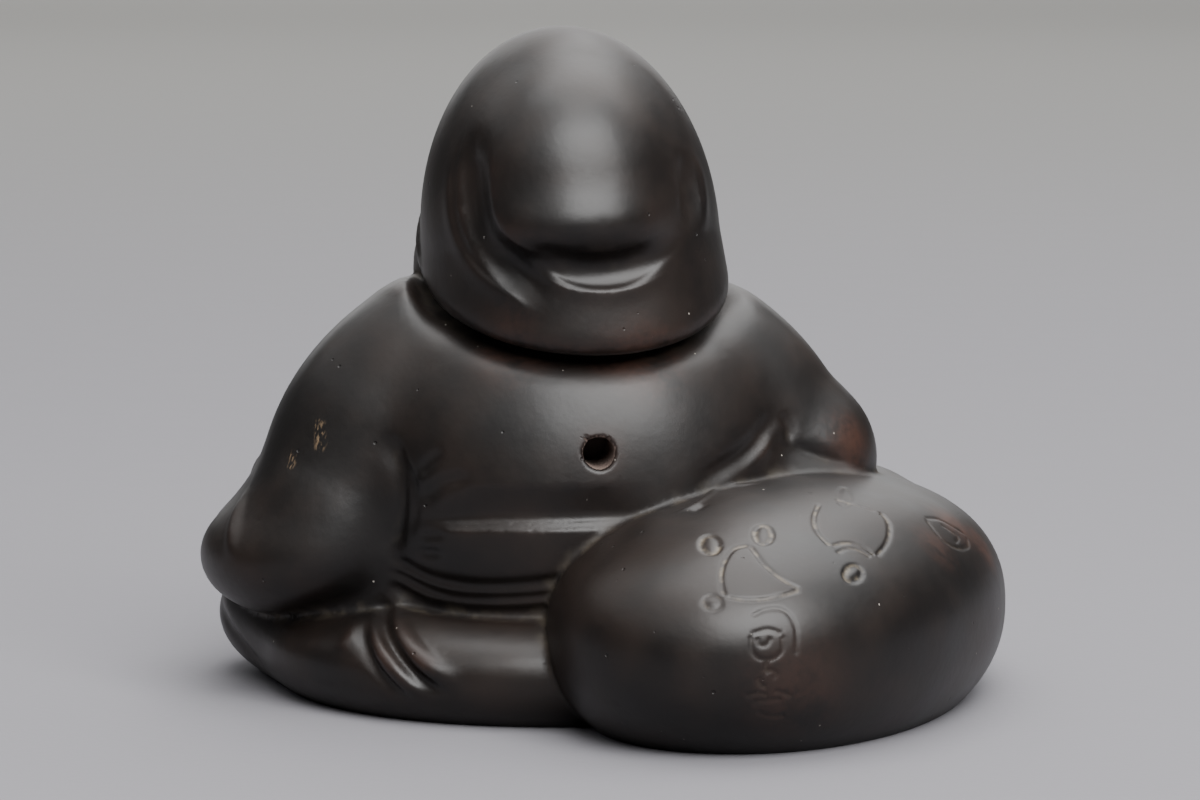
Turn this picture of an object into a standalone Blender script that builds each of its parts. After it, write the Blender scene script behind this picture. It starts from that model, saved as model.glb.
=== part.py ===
"""A seated god of wealth in a soft cap, with one arm on a full round sack and a mallet at the other hand.

The figure is one moulded ceramic piece, so it is one solid. It is worked out as a field of smooth masses,
which is negative inside the clay. Folds, hems and the carving are lines drawn on those masses from one side
or another, and each raises or sinks the skin along its way.

Places and sizes of the modelled forms are given in parts of the height. There are 122 parts in the height,
so that a part is a millimetre on the real figure. +X is the figure's left, -Y is its front, +Z is up, and
the origin is on the flat underside, below the cap.
"""

import math

import bmesh
import bpy
import numpy as np
from mathutils import Euler

HEIGHT = 0.122
VENT_DIAMETER = 0.0056
VENT_DEPTH = 0.014
VENT_HEIGHT = 0.0482
VENT_SIDE = -0.0005

PARTS_IN_HEIGHT = 122.0
PART = HEIGHT / PARTS_IN_HEIGHT

GRID_LOW = (-84.0, -66.0, -6.0)
GRID_HIGH = (76.0, 82.0, 128.0)
GRID_STEP = 1.25
MOST_TRIANGLES = 9200
FINE_WEIGHT = 0.5
FINE_FACTOR = 0.006
BAND = 6.0
SPARE_BELOW = 3.0
BOTH = (1.0, -1.0)
TETRAHEDRA = ((0, 1, 3, 7), (0, 3, 2, 7), (0, 2, 6, 7), (0, 6, 4, 7), (0, 4, 5, 7), (0, 5, 1, 7))
FRONT_RIM = (0.0, -0.95, -1.0)
BACK_RIM = (0.0, -0.33, -1.0)
RIGHT_HEM = (-50.0, 14.0, 40.5)
RIGHT_HEM_OUT = (0.42, 0.3, -1.0)

CLAY_COLOUR = (0.035, 0.026, 0.022, 1.0)
CLAY_ROUGHNESS = 0.38


# Fields


def local(p, centre, turn=(0.0, 0.0, 0.0)):
    """Points seen from a centre, in axes that are turned by three angles in degrees."""
    axes = np.array(Euler([math.radians(a) for a in turn]).to_matrix())
    return (p - np.array(centre)) @ axes


def ellipsoid(p, centre, radii, turn=(0.0, 0.0, 0.0)):
    q = local(p, centre, turn) / np.array(radii)
    near = np.linalg.norm(q, axis=1)
    slope = np.linalg.norm(q / np.array(radii), axis=1) + 1e-9
    return near * (near - 1.0) / slope


def pillow(p, centre, radii, turn=(0.0, 0.0, 0.0), plan=2.0, side=2.5):
    """An ellipsoid with fuller edges: plan and side are 2 for an ellipse, and more for a squarer one."""
    q = local(p, centre, turn)
    s = np.abs(q / np.array(radii)) + 1e-9
    flat = (s[:, 0] ** plan + s[:, 1] ** plan) ** (1.0 / plan)
    k = (flat**side + s[:, 2] ** side) ** (1.0 / side)
    return np.linalg.norm(q, axis=1) * (1.0 - 1.0 / k)


def limb(p, *joints):
    """A round limb through its joints, each given as x, y, z and a radius."""
    field = None
    for a, b in zip(joints, joints[1:]):
        start, way = np.array(a[:3]), np.array(b[:3]) - np.array(a[:3])
        share = np.clip((p - start) @ way / (way @ way), 0.0, 1.0)
        one = np.linalg.norm(p - start - share[:, None] * way, axis=1) - a[3] - (b[3] - a[3]) * share
        field = one if field is None else np.minimum(field, one)
    return field


def drum(p, centre, half_length, radius, turn, edge):
    """A round drum whose axis is local Z, with rounded edges."""
    q = local(p, centre, turn)
    out = np.hypot(q[:, 0], q[:, 1]) - radius + edge
    up = np.abs(q[:, 2]) - half_length + edge
    outside = np.hypot(np.maximum(out, 0.0), np.maximum(up, 0.0))
    return outside + np.minimum(np.maximum(out, up), 0.0) - edge


def joined(a, b, soft):
    """Both masses, with a fillet of about that size where they meet."""
    h = np.maximum(soft - np.abs(a - b), 0.0) / soft
    return np.minimum(a, b) - h * h * soft / 4.0


def cut(a, b, soft):
    """The first mass less the second, with a rounded edge."""
    return -joined(-a, b, soft)


def trimmed(a, b, soft):
    """Only what lies in both masses, with a rounded edge."""
    return -joined(-a, -b, soft)


def half_space(p, point, outward):
    """Everything behind a plane, which faces outward."""
    n = np.array(outward) / np.linalg.norm(outward)
    return (p - np.array(point)) @ n


# Masses


def cap_shell(p):
    """The egg of the cap, nearly straight below its widest level."""
    q = local(p, (0.6, 1.0, 83.5), (1.5, 4.4, 0.0))
    low = np.clip(-q[:, 2] / 20.0, 0.0, 1.0)
    flare = 1.0 + 0.075 * low
    radii = np.array((27.3, 29.3, 38.5))
    s = np.stack([q[:, 0] / flare, q[:, 1] / flare, np.maximum(q[:, 2], 0.0)], axis=1) / radii
    near = np.linalg.norm(s, axis=1)
    return near * (near - 1.0) / (np.linalg.norm(s / radii, axis=1) + 1e-9)


def hood(p):
    """The shell above two slanting planes, which meet over the ears."""
    shell = trimmed(cap_shell(p), half_space(p, (0.0, 30.0, 64.5), BACK_RIM), 5.0)
    return trimmed(shell, half_space(p, (0.0, -3.0, 74.5), FRONT_RIM), 3.0)


def cap(p):
    """The hood with the puff of its crown at the back and a turned-up band along its front rim."""
    puff = ellipsoid(p, (2.4, 15.2, 94.5), (19.2, 17.2, 22.5), (20.0, 3.0, 0.0))
    droop = ellipsoid(p, (2.2, 19.0, 87.0), (16.0, 15.6, 6.0), (4.0, 3.0, 0.0))
    puff = joined(puff, droop, 6.0)
    from_rim = half_space(p, (0.0, -3.0, 76.8), FRONT_RIM)
    band = trimmed(cap_shell(p) - 1.2, np.abs(from_rim + 1.2) - 3.2, 2.4)
    band = trimmed(band, half_space(p, (0.0, 30.0, 67.0), BACK_RIM), 4.0)
    return joined(joined(hood(p), puff, 2.0), band, 1.0)


def ear(p, side):
    shell = ellipsoid(p, (24.6 * side, -8.5, 77.5), (3.8, 6.2, 9.0), (-8.0, 0.0, 12.0 * side))
    lobe = ellipsoid(p, (25.0 * side, -11.0, 68.5), (3.6, 4.6, 6.0), (-8.0, 0.0, 12.0 * side))
    return joined(shell, lobe, 2.5)


def head(p):
    skull = ellipsoid(p, (0.0, -3.0, 81.5), (23.5, 22.0, 20.5))
    jowls = ellipsoid(p, (0.0, -8.5, 72.5), (22.0, 16.5, 12.0))
    face = joined(skull, jowls, 8.0)
    for side in BOTH:
        cheek = ellipsoid(p, (11.0 * side, -19.5, 74.8), (8.6, 6.6, 7.6))
        wing = ellipsoid(p, (3.1 * side, -26.4, 76.6), (2.6, 2.6, 2.3))
        socket = ellipsoid(p, (9.0 * side, -28.5, 83.5), (6.5, 5.4, 3.4))
        face = joined(face, cheek, 2.5)
        face = cut(face, socket, 2.5)
        lid = ellipsoid(p, (8.8 * side, -20.6, 82.9), (5.4, 3.6, 3.0))
        face = joined(face, lid, 1.2)
        face = joined(face, wing, 1.2)
        face = joined(face, ear(p, side), 1.5)
    nose = limb(p, (0.0, -23.2, 85.0, 1.9), (0.0, -26.9, 77.8, 3.2))
    chin = ellipsoid(p, (0.0, -20.8, 65.0), (7.6, 5.2, 4.8))
    lip = ellipsoid(p, (0.0, -24.3, 69.0), (4.6, 2.0, 1.5))
    face = joined(face, nose, 1.8)
    face = joined(face, chin, 2.5)
    return joined(face, lip, 1.2)


def mantle(p):
    """Shoulders and upper arms in one, open below the right sleeve."""
    both = pillow(p, (1.7, -2.0, 35.0), (56.2, 26.0, 48.0), plan=2.3, side=2.0)
    left = trimmed(both, half_space(p, (-16.0, 0.0, 0.0), (-1.0, 0.0, 0.0)), 8.0)
    right = trimmed(both, half_space(p, RIGHT_HEM, RIGHT_HEM_OUT), 3.5)
    return joined(left, right, 1.0)


def torso(p):
    back = ellipsoid(p, (0.0, 1.0, 37.0), (42.0, 36.0, 43.0))
    belly = ellipsoid(p, (0.0, -14.0, 35.0), (37.0, 31.0, 26.0))
    return joined(back, belly, 10.0)


def lap(p):
    seat = pillow(p, (0.0, -7.0, 8.0), (58.0, 50.5, 15.0), plan=2.0, side=2.4)
    legs = seat
    for side in BOTH:
        knee = ellipsoid(p, (41.5 * side, -20.0, 11.5), (23.0, 24.0, 14.5), (0.0, 0.0, 20.0 * side))
        legs = joined(legs, knee, 5.0)
    shin = limb(p, (34.0, -36.0, 11.0, 11.0), (-2.0, -48.0, 10.0, 8.5), (-24.0, -46.0, 8.0, 7.0))
    other = limb(p, (-36.0, -34.0, 9.0, 11.0), (2.0, -44.0, 4.0, 7.0))
    return joined(joined(legs, other, 3.0), shin, 2.0)


def left_sleeve(p):
    arm = limb(p, (35.5, 1.0, 48.0, 16.0), (41.5, 2.0, 34.5, 17.6), (44.0, -26.0, 32.5, 15.0))
    bag = ellipsoid(p, (47.4, -4.0, 27.0), (21.2, 24.0, 13.0), (0.0, 8.0, 0.0))
    sleeve = joined(arm, bag, 6.0)
    sleeve = trimmed(sleeve, half_space(p, (50.0, 10.0, 16.5), (-0.28, 0.25, -1.0)), 3.5)
    return trimmed(sleeve, half_space(p, (46.0, -32.0, 32.0), (-0.30, -1.0, 0.10)), 1.8)


def right_sleeve(p):
    arm = limb(p, (-33.0, 1.0, 47.0, 15.0), (-40.2, 0.0, 42.0, 16.4), (-41.0, -26.0, 44.0, 13.0))
    sleeve = trimmed(arm, half_space(p, RIGHT_HEM, RIGHT_HEM_OUT), 3.5)
    lining = limb(p, (-32.0, 12.0, 37.0, 11.0), (-45.0, 8.0, 36.0, 9.5))
    sleeve = joined(sleeve, lining, 0.8)
    return trimmed(sleeve, half_space(p, (-42.0, -31.0, 44.0), (0.25, -1.0, -0.1)), 1.8)


def fist(p, centre, side):
    """A closed hand round an upright grip: back outside, fingers in front and thumb on top."""
    x, y, z = centre
    hand = ellipsoid(p, (x + 3.4 * side, y + 3.6, z), (8.4, 8.6, 8.2))
    for k in range(4):
        way = []
        for n in range(6):
            bend = math.radians(5.0 + 31.0 * n)
            across, ahead = 6.2 * side * math.cos(bend), -5.6 * math.sin(bend)
            way.append((x + across, y + ahead, z + 5.6 - 3.7 * k, 2.4 - 0.08 * n))
        hand = joined(hand, limb(p, *way), 1.0)
    thumb = limb(p, (x + 1.0 * side, y + 4.0, z + 7.2, 3.0), (x - 4.0 * side, y - 1.6, z + 7.4, 2.4))
    return joined(hand, thumb, 1.2)


def mallet(p):
    """The mallet that grants wishes: a short drum across the top of a grip."""
    x, y, z = 37.5, -38.0, 45.5
    head = drum(p, (x, y, z), 10.5, 7.8, (0.0, 90.0, 12.0), 1.6)
    turn = math.radians(12.0)
    for k in (-6.8, 6.8):
        place = (x + k * math.cos(turn), y + k * math.sin(turn), z)
        hoop = drum(p, place, 1.4, 8.6, (0.0, 90.0, 12.0), 0.8)
        head = joined(head, hoop, 0.6)
    grip = limb(p, (x, y, z, 2.8), (x - 0.5, y - 0.6, 21.0, 2.8))
    return joined(head, grip, 0.8)


def sack(p):
    full = pillow(p, (-35.5, 20.0, 16.2), (58.0, 37.9, 25.4), (0.0, 0.0, 59.8), 2.1, 2.25)
    neck = limb(p, (-50.0, -17.0, 24.0, 17.0), (-45.0, -34.0, 36.0, 7.0), (-44.0, -38.0, 47.0, 4.5))
    cloth = joined(full, neck, 9.0)
    mouth = limb(p, (-44.2, -38.0, 45.0, 4.0), (-43.4, -39.0, 54.0, 9.2))
    mouth = trimmed(mouth, half_space(p, (-43.5, -39.0, 56.0), (0.05, -0.2, 1.0)), 2.0)
    return joined(cloth, mouth, 2.0)


def clothes(p):
    """Robe, sleeves and crossed legs, hollowed a little below the hood and closed again by the neck."""
    body = joined(torso(p), mantle(p), 3.0)
    body = joined(body, left_sleeve(p), 2.5)
    body = joined(body, right_sleeve(p), 2.0)
    body = joined(body, lap(p), 1.5)
    body = cut(body, hood(p) - 1.7, 3.5)
    return joined(body, ellipsoid(p, (0.0, -3.0, 66.0), (22.0, 22.0, 20.0)), 1.5)


# Lines on the skin


def smooth_line(points, spacing=1.1):
    """An evenly spaced smooth curve through the points."""
    points = np.array(points, float)
    padded = np.concatenate([[2 * points[0] - points[1]], points, [2 * points[-1] - points[-2]]])
    way = []
    for a, b, c, d in zip(padded, padded[1:], padded[2:], padded[3:]):
        count = max(2, int(np.linalg.norm(c - b) / spacing) + 1)
        t = np.linspace(0.0, 1.0, count, endpoint=False)[:, None]
        bend = (2 * a - 5 * b + 4 * c - d) * t**2 + (3 * b - a - 3 * c + d) * t**3
        way.append(0.5 * (2 * b + (c - a) * t + bend))
    return np.concatenate(way + [padded[-2:-1]])


def drawn(azimuth, points, field, far=96.0):
    """A line seen level from an azimuth, across and up, and laid on a mass from that side."""
    angle = math.radians(azimuth)
    right = np.array((math.cos(angle), math.sin(angle), 0.0))
    toward = np.array((math.sin(angle), -math.cos(angle), 0.0))
    flat = smooth_line(points)
    places = flat[:, :1] * right + flat[:, 1:] * np.array((0.0, 0.0, 1.0)) + far * toward
    for _ in range(110):
        gap = field(places)
        places = places - np.clip(gap * 0.8, -0.5, 4.0)[:, None] * toward
    return places


def fold(line, field, rise, left, right, taper, straight=False):
    """A raised or sunk line with flanks of one width at its left and another at its right. Round flanks fade
    out, and straight ones end in an edge."""
    tangent = np.gradient(line, axis=0)
    normal = slope_of(line, field)
    to_left = np.cross(normal, tangent)
    to_left /= np.linalg.norm(to_left, axis=1, keepdims=True) + 1e-9
    return line, to_left, rise, left, right, taper, straight


def fold_rise(p, line, to_left, rise, left, right, taper, straight):
    """How far one line lifts the skin at each point."""
    reach = 2.4 * max(left, right)
    lift = np.zeros(len(p))
    near = np.all((p > line.min(axis=0) - reach) & (p < line.max(axis=0) + reach), axis=1)
    q = p[near]
    if not len(q):
        return lift
    best = np.full(len(q), 1e9)
    share = np.zeros(len(q))
    leftness = np.zeros(len(q))
    steps = len(line) - 1
    for k in range(steps):
        way = line[k + 1] - line[k]
        t = np.clip((q - line[k]) @ way / (way @ way + 1e-12), 0.0, 1.0)
        away = q - line[k] - t[:, None] * way
        length = np.linalg.norm(away, axis=1)
        closer = length < best
        best[closer] = length[closer]
        share[closer] = (k + t[closer]) / steps
        leftness[closer] = (away[closer] @ to_left[k]) / (length[closer] + 1e-6)
    mix = 0.5 + 0.5 * np.clip(leftness * 1.6, -1.0, 1.0)
    width = right + (left - right) * mix
    ends = np.clip(np.minimum(share, 1.0 - share) / max(taper, 1e-3), 0.0, 1.0)
    flank = np.maximum(1.0 - best / width, 0.0) if straight else np.exp(-((best / width) ** 2))
    lift[near] = rise * flank * ends * ends * (3.0 - 2.0 * ends)
    return lift


# Each line is drawn across and up as seen level from an azimuth: 0 in front, 90 at the figure's left, 180
# behind. After it come its rise, the widths of its two flanks, how much of its length tapers off and, for a
# few, that the flanks are straight.

CAP_LINES = (
    # The valley round the puff, below flat ledges of the hood whose edges stand up sharply.
    (140, ((-2.8, 105.7), (-3.4, 100.6), (-3.1, 97.2), (-2.0, 91.1), (0.1, 86.4), (3.1, 83.0), (6.3, 80.3),
           (9.4, 78.1), (12.2, 75.4), (13.9, 72.8)), -3.3, 6.0, 3.5, 0.35, True),
    (140, ((-6.0, 105.5), (-8.6, 101.2), (-9.1, 96.8), (-8.5, 91.5), (-7.0, 86.6), (-4.3, 82.4), (0.0, 78.7),
           (4.9, 76.0), (10.0, 73.6), (14.3, 71.1)), 0.4, 0.8, 2.0, 0.35),
    (180, ((-12.6, 86.2), (-10.5, 84.1), (-7.6, 82.3), (-3.2, 80.9), (1.9, 80.5), (6.7, 81.0), (10.5, 82.3),
           (14.4, 84.1)), -2.5, 3.5, 4.2, 0.4, True),
    (180, ((-12.9, 85.4), (-10.9, 82.2), (-7.9, 79.5), (-3.2, 77.2), (1.9, 76.5), (6.2, 77.0), (10.4, 78.8),
           (14.3, 81.3), (18.0, 84.0)), 0.4, 0.8, 2.0, 0.35),
    (215, ((3.9, 101.0), (4.2, 95.9), (4.0, 90.6), (2.4, 84.9)), -2.0, 3.4, 4.5, 0.45, True),
    (215, ((6.7, 101.9), (8.8, 95.6), (8.2, 89.4), (6.5, 83.7)), 0.4, 2.0, 0.8, 0.4),
    # Short gathers over the front band.
    (0, ((-15.5, 100.5), (-14.0, 106.0), (-11.0, 110.5)), -0.9, 1.8, 1.8, 0.5),
    (0, ((-6.2, 101.8), (-5.6, 107.0), (-3.8, 111.5)), -0.9, 1.8, 1.8, 0.5),
    (0, ((3.8, 102.0), (4.2, 107.0), (4.6, 112.0)), -0.9, 1.8, 1.8, 0.5),
    (0, ((13.8, 101.0), (13.2, 106.0), (11.2, 110.5)), -0.9, 1.8, 1.8, 0.5),
)

ROBE_LINES = (
    # The waist: a shelf along the top of the sash, then two cords between three grooves.
    (180, ((-33.5, 35.2), (-25.3, 35.9), (-16.8, 36.5), (-6.5, 36.7), (3.2, 37.0), (12.0, 37.6)),
     -2.2, 6.0, 2.0, 0.3, True),
    (180, ((-36.0, 28.4), (-30.2, 25.3), (-25.2, 24.2), (-19.1, 24.0), (-9.0, 25.0), (2.0, 27.0)),
     -1.2, 1.3, 1.0, 0.1),
    (180, ((-36.0, 25.8), (-30.2, 23.0), (-25.1, 21.7), (-19.0, 21.7), (-9.3, 22.6), (2.0, 24.5)),
     -1.2, 1.0, 1.0, 0.1),
    (180, ((-36.0, 23.6), (-30.1, 20.1), (-25.0, 19.2), (-18.9, 19.2), (-10.0, 20.0), (2.0, 21.8)),
     -1.6, 1.0, 1.5, 0.1),
    # Folds that fall from under the sleeve, each with the valley beside it.
    (165, ((-30.2, 21.8), (-26.7, 16.7), (-22.8, 13.1), (-18.0, 10.0), (-12.4, 8.0)), 2.3, 2.8, 2.4, 0.45, True),
    (165, ((-31.5, 21.4), (-28.8, 16.5), (-24.8, 12.5), (-20.4, 8.6), (-15.4, 6.4)), -1.9, 1.1, 1.3, 0.3),
    (165, ((-33.0, 19.0), (-30.2, 14.3), (-26.7, 10.4), (-23.2, 7.5), (-19.6, 5.5)), 1.9, 2.4, 2.0, 0.45, True),
    (165, ((-34.5, 19.0), (-32.2, 14.1), (-28.8, 9.3), (-25.4, 6.1), (-22.0, 4.2)), -1.1, 1.3, 1.3, 0.35),
    (165, ((-34.2, 18.0), (-35.2, 14.4), (-36.2, 10.8)), 0.9, 1.8, 1.8, 0.4),
    # Creases round the left armpit.
    (165, ((-29.2, 51.0), (-26.9, 44.8), (-26.2, 38.7), (-27.0, 33.3), (-29.4, 27.2)),
     -1.4, 1.4, 2.2, 0.25),
    (165, ((-27.3, 46.2), (-24.4, 42.5), (-23.9, 37.2), (-25.0, 31.5)), -0.8, 1.2, 1.2, 0.3),
    (165, ((-23.6, 38.2), (-21.0, 40.5), (-17.7, 42.5), (-12.0, 43.9)), -0.9, 1.3, 1.6, 0.3),
    (165, ((-24.0, 42.6), (-21.1, 45.7), (-17.8, 48.6)), -0.7, 1.2, 1.2, 0.4),
    (165, ((-23.5, 32.6), (-20.2, 33.0), (-16.8, 33.5)), -0.5, 1.0, 1.0, 0.4),
    (165, ((-24.0, 29.4), (-20.7, 29.7), (-17.4, 29.7)), -0.5, 1.0, 1.0, 0.4),
    # The leg and the swell of the sleeve at the left.
    (130, ((-58.0, 14.0), (-51.5, 10.9), (-47.0, 8.2), (-42.9, 6.0), (-36.0, 3.6)), -1.2, 1.2, 1.6, 0.3),
    (130, ((-37.2, 39.2), (-35.3, 34.0), (-33.4, 30.8), (-31.0, 26.0)), 0.9, 1.3, 1.8, 0.4),
    # Pinches of cloth where the right sleeve lies on the sack.
    (195, ((30.9, 53.4), (25.3, 49.5), (21.2, 47.0), (15.1, 44.5), (7.6, 41.8)), -1.2, 1.4, 1.9, 0.3),
    (195, ((28.5, 50.8), (24.6, 46.6), (18.8, 43.9)), 0.5, 1.4, 1.4, 0.4),
    (195, ((30.3, 52.8), (32.0, 49.6), (31.1, 46.8)), -0.9, 1.2, 1.2, 0.35),
    # The robe crosses left over right, with a turned hem on each side.
    (0, ((19.5, 58.0), (14.0, 50.5), (6.0, 43.5), (-5.0, 38.2), (-14.0, 34.8)), 1.7, 1.2, 3.4, 0.08),
    (0, ((24.0, 54.5), (18.0, 46.0), (9.5, 39.0), (-1.5, 34.0)), -1.0, 1.1, 1.1, 0.15),
    (0, ((-19.5, 58.0), (-14.0, 50.5), (-6.5, 44.8), (1.0, 41.0)), 1.5, 3.2, 1.2, 0.1),
    (0, ((-24.0, 54.5), (-18.0, 46.2), (-11.5, 40.6), (-6.0, 38.0)), -1.0, 1.1, 1.1, 0.2),
    # The sash in front.
    (0, ((-32.0, 34.0), (-18.0, 30.2), (0.0, 28.8), (18.0, 30.2), (30.0, 34.0)), -1.3, 3.4, 0.9, 0.12),
    (0, ((-32.0, 25.5), (-18.0, 22.8), (0.0, 22.0), (18.0, 22.8), (30.0, 25.5)), -1.4, 1.0, 1.4, 0.1),
    # Folds of the robe over the crossed legs.
    (0, ((-34.0, 19.5), (-22.0, 12.5), (-4.0, 8.6), (16.0, 9.0), (30.0, 13.0)), -1.6, 2.0, 1.4, 0.25),
    (0, ((-38.0, 13.5), (-24.0, 7.0), (-2.0, 3.6), (20.0, 4.4)), -1.4, 1.8, 1.4, 0.25),
    (0, ((42.0, 17.0), (30.0, 15.6), (16.0, 14.4), (4.0, 14.6)), -1.2, 1.4, 1.8, 0.3),
    (0, ((56.0, 12.0), (48.0, 7.0), (36.0, 4.0), (26.0, 3.0)), -1.1, 1.5, 1.5, 0.3),
    (0, ((-52.0, 10.0), (-44.0, 5.6), (-34.0, 3.4)), -1.0, 1.5, 1.5, 0.3),
    # Creases of both sleeves.
    (60, ((8.0, 46.0), (2.0, 40.0), (-7.0, 36.0)), -1.2, 1.5, 1.5, 0.35),
    (60, ((14.0, 38.0), (6.0, 30.0), (-6.0, 26.5)), -1.3, 1.6, 1.6, 0.35),
    (80, ((6.0, 34.0), (-2.0, 25.0), (-14.0, 21.5)), -1.2, 1.6, 1.6, 0.35),
    (-55, ((-14.0, 56.0), (-9.0, 51.0), (0.0, 48.0)), -1.2, 1.5, 1.5, 0.35),
    (-60, ((-16.0, 50.0), (-8.0, 45.5), (4.0, 43.5)), -1.2, 1.5, 1.5, 0.35),
)

SACK_LINES = (
    # Gathers of its mouth and of its neck below the hand.
    (0, ((-49.2, 55.4), (-46.8, 51.0), (-45.6, 47.0)), -1.5, 1.1, 1.1, 0.2),
    (0, ((-43.6, 55.6), (-43.8, 51.0), (-44.2, 47.0)), -1.5, 1.1, 1.1, 0.2),
    (0, ((-38.0, 55.0), (-41.0, 51.0), (-42.6, 47.0)), -1.5, 1.1, 1.1, 0.2),
    (-80, ((30.0, 54.6), (33.0, 51.0), (35.0, 47.0)), -1.5, 1.1, 1.1, 0.2),
    (180, ((48.0, 55.0), (46.0, 51.0), (45.0, 47.0)), -1.5, 1.1, 1.1, 0.2),
    (180, ((40.0, 55.0), (42.0, 51.0), (43.4, 47.0)), -1.5, 1.1, 1.1, 0.2),
    (-35, ((-26.0, 30.0), (-31.0, 22.0), (-40.0, 15.0)), -1.2, 1.6, 1.6, 0.35),
    (-35, ((-21.0, 29.0), (-22.0, 20.0), (-26.0, 11.0)), -1.2, 1.6, 1.6, 0.35),
    (-60, ((-2.0, 33.0), (-12.0, 28.0), (-24.0, 25.5)), -1.2, 1.6, 1.6, 0.35),
)

# Lines of one half of the face, which the other half mirrors.
FACE_LINES = (
    (0, ((4.4, 82.0), (6.6, 83.2), (9.4, 83.4), (12.2, 82.2), (14.4, 80.0)), -0.8, 0.8, 0.8, 0.2),
    (0, ((3.4, 88.6), (7.4, 90.6), (12.0, 90.3), (16.0, 87.6)), 0.7, 1.2, 1.2, 0.35),
    (0, ((4.0, 74.8), (6.8, 73.0), (8.8, 70.2)), -0.6, 0.9, 0.9, 0.35),
    (0, ((0.0, 70.9), (2.4, 70.7), (4.8, 71.2), (7.0, 72.4)), -0.9, 0.8, 0.8, 0.12),
    (12, ((24.5, 82.0), (22.6, 79.0), (22.8, 74.5), (24.6, 71.5)), -0.8, 0.9, 0.9, 0.2),
)


def carved(mass, lines):
    """A mass with its lines, whose lift is worked out only close to the skin."""
    folds = [fold(drawn(azimuth, way, mass), mass, *shape) for azimuth, way, *shape in lines]

    def field(p):
        value = mass(p)
        near = np.abs(value) < BAND
        q = p[near]
        lift = np.zeros(len(q))
        for one in folds:
            lift += fold_rise(q, *one)
        value[near] -= lift
        return value

    return field


def both_sides(lines):
    """Lines of one half, and the same lines mirrored on the other."""
    mirrored = []
    for azimuth, way, rise, left, right, taper in lines:
        mirrored.append((-azimuth, [(-across, up) for across, up in way], rise, right, left, taper))
    return list(lines) + mirrored


def statue_field():
    """The whole figure as one field."""
    robe = carved(clothes, ROBE_LINES)
    bag = carved(sack, SACK_LINES)
    face = carved(head, both_sides(FACE_LINES))
    hat = carved(cap, CAP_LINES)

    def field(p):
        value = joined(robe(p), mallet(p), 0.8)
        value = joined(value, fist(p, (38.0, -38.5, 29.5), 1.0), 0.8)
        value = joined(value, bag(p), 1.2)
        value = joined(value, fist(p, (-44.5, -37.0, 41.0), -1.0), 0.8)
        return joined(value, joined(face(p), hat(p), 0.8), 0.8)

    return field


# Skin


def grid_field(field, low, high, step):
    axes = [np.arange(a, b, step) for a, b in zip(low, high)]
    x, y, z = np.meshgrid(*axes, indexing="ij")
    points = np.stack([x, y, z], axis=-1).reshape(-1, 3)
    return field(points).reshape(x.shape)


def skin_of(values, low, step):
    """Triangles where the field changes sign, found in six tetrahedra per cell so that they close."""
    strides = np.array([values.shape[1] * values.shape[2], values.shape[2], 1])
    flat = values.reshape(-1)
    inside = values < 0.0
    some = np.zeros(tuple(n - 1 for n in values.shape), int)
    for corner in range(8):
        x, y, z = corner & 1, corner >> 1 & 1, corner >> 2
        some += inside[x : x + some.shape[0], y : y + some.shape[1], z : z + some.shape[2]]
    cells = np.argwhere((some > 0) & (some < 8)) @ strides
    corners = np.array([[c & 1, c >> 1 & 1, c >> 2] for c in range(8)]) @ strides
    ends = []
    for tetrahedron in TETRAHEDRA:
        a, b, c, d = [cells + corners[k] for k in tetrahedron]
        for near, far in ((a, (b, c, d)), (b, (a, d, c)), (c, (a, b, d)), (d, (a, c, b))):
            for wanted in (True, False):
                hit = (flat[near] < 0.0) == wanted
                for other in far:
                    hit &= (flat[other] < 0.0) != wanted
                trio = [np.stack([near[hit], other[hit]], axis=1) for other in far]
                ends.append(np.stack(trio if wanted else trio[::-1], axis=1))
        pairs = ((a, b, c, d), (a, c, d, b), (a, d, b, c), (b, c, a, d), (b, d, c, a), (c, d, a, b))
        for p, q, r, t in pairs:
            hit = (flat[p] < 0.0) & (flat[q] < 0.0) & (flat[r] >= 0.0) & (flat[t] >= 0.0)
            quad = [np.stack([one[hit], two[hit]], axis=1) for one, two in ((p, r), (p, t), (q, t), (q, r))]
            ends.append(np.stack([quad[0], quad[1], quad[2]], axis=1))
            ends.append(np.stack([quad[0], quad[2], quad[3]], axis=1))
    ends = np.sort(np.concatenate(ends).reshape(-1, 2), axis=1)
    edges, faces = np.unique(ends[:, 0] * flat.size + ends[:, 1], return_inverse=True)
    one, two = edges // flat.size, edges % flat.size
    share = np.clip(flat[one] / (flat[one] - flat[two]), 0.04, 0.96)[:, None]
    places = [np.stack(np.unravel_index(k, values.shape), axis=1) for k in (one, two)]
    points = (places[0] * (1.0 - share) + places[1] * share) * step + np.array(low)
    return points, faces.reshape(-1, 3)


def outer_skin(points, faces):
    """The largest skin alone, so that small voids between the masses are solid clay."""
    label = np.arange(len(points))
    while True:
        lowest = label.copy()
        np.minimum.at(lowest, faces.ravel(), np.repeat(label[faces].min(axis=1), 3))
        lowest = lowest[lowest]
        if np.array_equal(lowest, label):
            break
        label = lowest
    largest = np.bincount(label).argmax()
    kept, faces = np.unique(faces[label[faces[:, 0]] == largest], return_inverse=True)
    return points[kept], faces.reshape(-1, 3)


def slope_of(points, field):
    steps = 0.05 * np.eye(3)
    return np.stack([field(points + d) - field(points - d) for d in steps], axis=1) / 0.1


def settled(points, field, rounds=2, most=0.25):
    """Points moved along the field's slope until they lie on the surface."""
    points = points.copy()
    for _ in range(rounds):
        slope = slope_of(points, field)
        step = slope * (field(points) / (np.sum(slope * slope, axis=1) + 1e-6))[:, None]
        length = np.linalg.norm(step, axis=1, keepdims=True) + 1e-9
        points -= step * np.minimum(1.0, most / length)
    return points


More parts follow.
